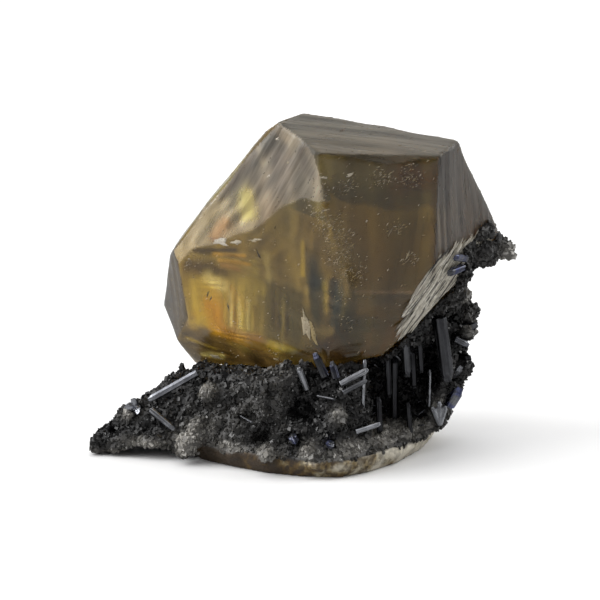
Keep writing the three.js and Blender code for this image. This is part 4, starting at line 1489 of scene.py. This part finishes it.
# %% The veils as one piece
def make_veil_material():
    """A thin scattering sheet, as dense as its stored measure says."""
    material, tree, shader = new_material("calcite_veil")
    fill(tree, shader, {
        "Base Color": attribute(tree, "tint", "Vector"),
        "Alpha": attribute(tree, "dense"),
        "Roughness": 0.6,
        "Specular IOR Level": 0.1,
    })
    return material


parts = {"corners": [], "faces": [], "tint": [], "dense": []}
rng = np.random.default_rng(VEIL_SEED)
for veil in VEILS:
    add_veil(parts, rng, *veil)
veil_points = np.concatenate(parts["corners"]) * MM
veils = add_object("calcite_veils", new_mesh("calcite_veils", veil_points.tolist(), parts["faces"]))
store(veils.data, tint=np.concatenate(parts["tint"]), dense=np.concatenate(parts["dense"]))
dress(veils, make_veil_material(), "calcite")
highest = float(height_above_crystal(veil_points).max()) / MM
print("veils:", len(VEILS), "sheets, highest point against the flat faces, mm:", round(highest, 2))

# %% [markdown]
# ## The stibnite prisms
# Stibnite grows as long prisms with deep lengthwise lines, and its fresh faces shine like polished
# lead. Most of these have tarnished nearly black, and a few have a blue or violet bloom. Each solid
# prism is given a fine skin, and its lines are pressed into that skin along its own length, which is
# found as the direction in which its corners spread most.

# %% Prism skins
PRISM_VOXEL = 0.085 * MM
LINE_DEPTH = 0.035
LINE_RATES = (9, 26)
# The lines are shallower towards a prism's ends: over how many mm
LINE_FADE = 0.5
PRISM_SEED = 100

# Prisms that have grown together: the directions of their members, as root and tip in mm
GROWN_TOGETHER = {
    "stibnite_rosette": [
        ((-23.4, -1.2, 6.4), (-25.3, -2.8, 7.4)),
        ((-23.6, -1.2, 6.2), (-24.2, -2.4, 8.4)),
        ((-23.6, -1.2, 6.6), (-23.3, -3.4, 6.4)),
    ],
    "stibnite_wall_spray": [
        ((19.9, -1.6, 4.2), (18.7, -3.3, 7.4)),
        ((19.9, -1.6, 4.2), (19.7, -3.4, 8.2)),
        ((19.9, -1.6, 4.2), (20.7, -2.9, 7.4)),
    ],
}

# How bright each prism is, from 0, tarnished black, to 1, fresh metal, and how blue
PRISM_SHINE = {
    "blade_long": (0.62, 0.05), "blade_short": (0.6, 0.0), "rosette": (0.9, 0.05),
    "front_post": (0.65, 0.0), "pair_upper": (0.85, 0.0), "pair_lower": (0.4, 0.0),
    "thin_post": (0.7, 0.0), "low_cross": (0.8, 0.0), "column_bright": (0.85, 0.0),
    "column_front": (0.16, 0.0), "column_large": (0.10, 0.0), "edge_left": (0.14, 0.6),
    "edge_right": (0.14, 0.45), "low_left": (1.0, 0.8), "low_right": (1.0, 0.8),
    "side_upper": (0.28, 1.0), "side_lower": (0.22, 1.0), "wall_blue": (0.6, 0.9),
    "wall_ledge": (0.3, 0.1), "wall_pale": (0.6, 0.0), "wall_upper": (0.35, 0.5),
    "wall_spray": (0.9, 0.0), "needle_left": (0.16, 0.0), "needle_right": (0.2, 0.0),
}
DULL_PRISM = (0.05, 0.0)


# %% Lines along the prisms
def prism_axes(points):
    """The centre of some points and the directions of their spread, the longest first."""
    centre = (points.min(axis=0) + points.max(axis=0)) / 2
    ways = np.linalg.eigh(np.cov((points - points.mean(axis=0)).T))[1]
    return centre, ways[:, ::-1].T


def prism_places(name, points):
    """Each point's place against its own prism in mm: across, through and along."""
    centre, ways = prism_axes(points)
    places = (points - centre) @ ways.T / MM
    nearest = np.full(len(points), np.inf)
    for root, tip in GROWN_TOGETHER.get(name, []):
        root, tip = np.array(root) * MM, np.array(tip) * MM
        axis = (tip - root) / np.linalg.norm(tip - root)
        side = np.cross(axis, (0.3, 0.9, 0.2))
        side /= np.linalg.norm(side)
        axes = np.array([axis, side, np.cross(axis, side)])
        local = (points - root) @ axes.T / MM
        away = np.hypot(local[:, 1], local[:, 2])
        mine = away < nearest
        places[mine] = local[mine]
        nearest[mine] = away[mine]
    return places[:, [1, 2, 0]]


def striated_prism(name, seed):
    """A detailed copy of a solid prism, with lengthwise lines."""
    made = solid_copy(name + "_lined", name)
    remesh(made, PRISM_VOXEL)
    points = read_points(made.data)
    places = prism_places(name, points)
    rng = np.random.default_rng(seed)
    ridges = sines(rng, places[:, 0], *LINE_RATES, 7) + sines(rng, places[:, 1], *LINE_RATES, 7)
    reach = np.abs(places[:, 2] - places[:, 2].mean())
    middle = unit((reach.max() - reach) / LINE_FADE)
    moved = (LINE_DEPTH * (0.5 * ridges - 1.0) * (0.3 + 0.7 * middle)) * MM
    write_points(made.data, points + read_points(made.data, "normal") * moved[:, None])
    growth = np.column_stack([places[:, 0] + places[:, 1], places[:, 2], np.full(len(points), seed)])
    shine, blue = PRISM_SHINE.get(name.removeprefix("stibnite_"), DULL_PRISM)
    store(made.data, growth=growth, shine=shine, bloom=blue)
    return made


# %% Stibnite material
def make_stibnite():
    """Lead-grey metal with lengthwise lines, black tarnish and a blue bloom."""
    material, tree, shader = new_material("stibnite_metal")
    place = attribute(tree, "growth", "Vector")
    broad, fine = lines(tree, place, 2.2, 12, 4), lines(tree, place, 9, 6, 4)
    metal = mix(tree, attribute(tree, "shine"), (0.03, 0.03, 0.033), (0.68, 0.70, 0.74))
    worn = mix(tree, 1, metal, (0.35, 0.35, 0.37), "MULTIPLY")
    base = mix(tree, mix(tree, 0.45, broad, fine), worn, metal)
    tarnish = maths(tree, "MULTIPLY", noise_at(tree, 0.6, 3, 4), 0.5)
    base = mix(tree, tarnish, base, (0.03, 0.03, 0.032))
    blue = maths(tree, "MULTIPLY", attribute(tree, "bloom"), noise_at(tree, 0.9, 2, 5))
    tinted = mix(tree, 1, base, (0.52, 0.58, 1.10), "MULTIPLY")
    fill(tree, shader, {
        "Base Color": mix(tree, blue, base, tinted),
        "Metallic": 1,
        "Roughness": scaled(tree, fine, 0.2, 0.22),
    })
    add_bump(tree, shader, fine, 0.4, 0.03 * MM)
    return material


stibnite = make_stibnite()
prism_faces = 0
for seed, name in enumerate(sorted(n for n in nodes if n.startswith("stibnite"))):
    prism = striated_prism(name, PRISM_SEED + seed)
    dress(prism, stibnite, "stibnite", name)
    prism_faces += len(prism.data.polygons)
print("prism faces:", prism_faces)

# %% [markdown]
# Between the big prisms stand many hair-thin ones. They are scattered over the same skin of the rock,
# in the left part of the hollow under the crystal and, fewer, on the front slope.

# %% Needles
# Rings of the needle from its root to its tip: height and radius
NEEDLE_RINGS = ((0.0, 0.5), (0.9, 0.45), (1.0, 0.15))
# The needles in the hollow stand left of this x, in mm
NEEDLES_END = 18.5

thick = 0.10 * unit(blob(stone, (15.5, 0.0, 11.0), (5.5, 6.0, 7.0)) * 2)
thick *= stone[:, 0] / MM < NEEDLES_END
thick = np.maximum(thick, 0.05 * blob(stone, (4.0, -11.0, 12.0), (6.0, 4.0, 4.0)))
thick *= cover > 0.5
scatter(
    "stibnite_needles", skin_with(rock.data, cover=thick, shine=0.4, bloom=0.15, growth=stone / MM),
    stibnite, "stibnite", Shape=ringed_shape("needle", NEEDLE_RINGS, 1), Per_square_metre=5 / MM ** 2,
    Spacing=0.5, Smallest=(0.12, 0.12, 0.9), Largest=(0.3, 0.3, 2.2), Lean=0.8, Turn=math.pi, Sink=0.2,
    Seed=19,
)
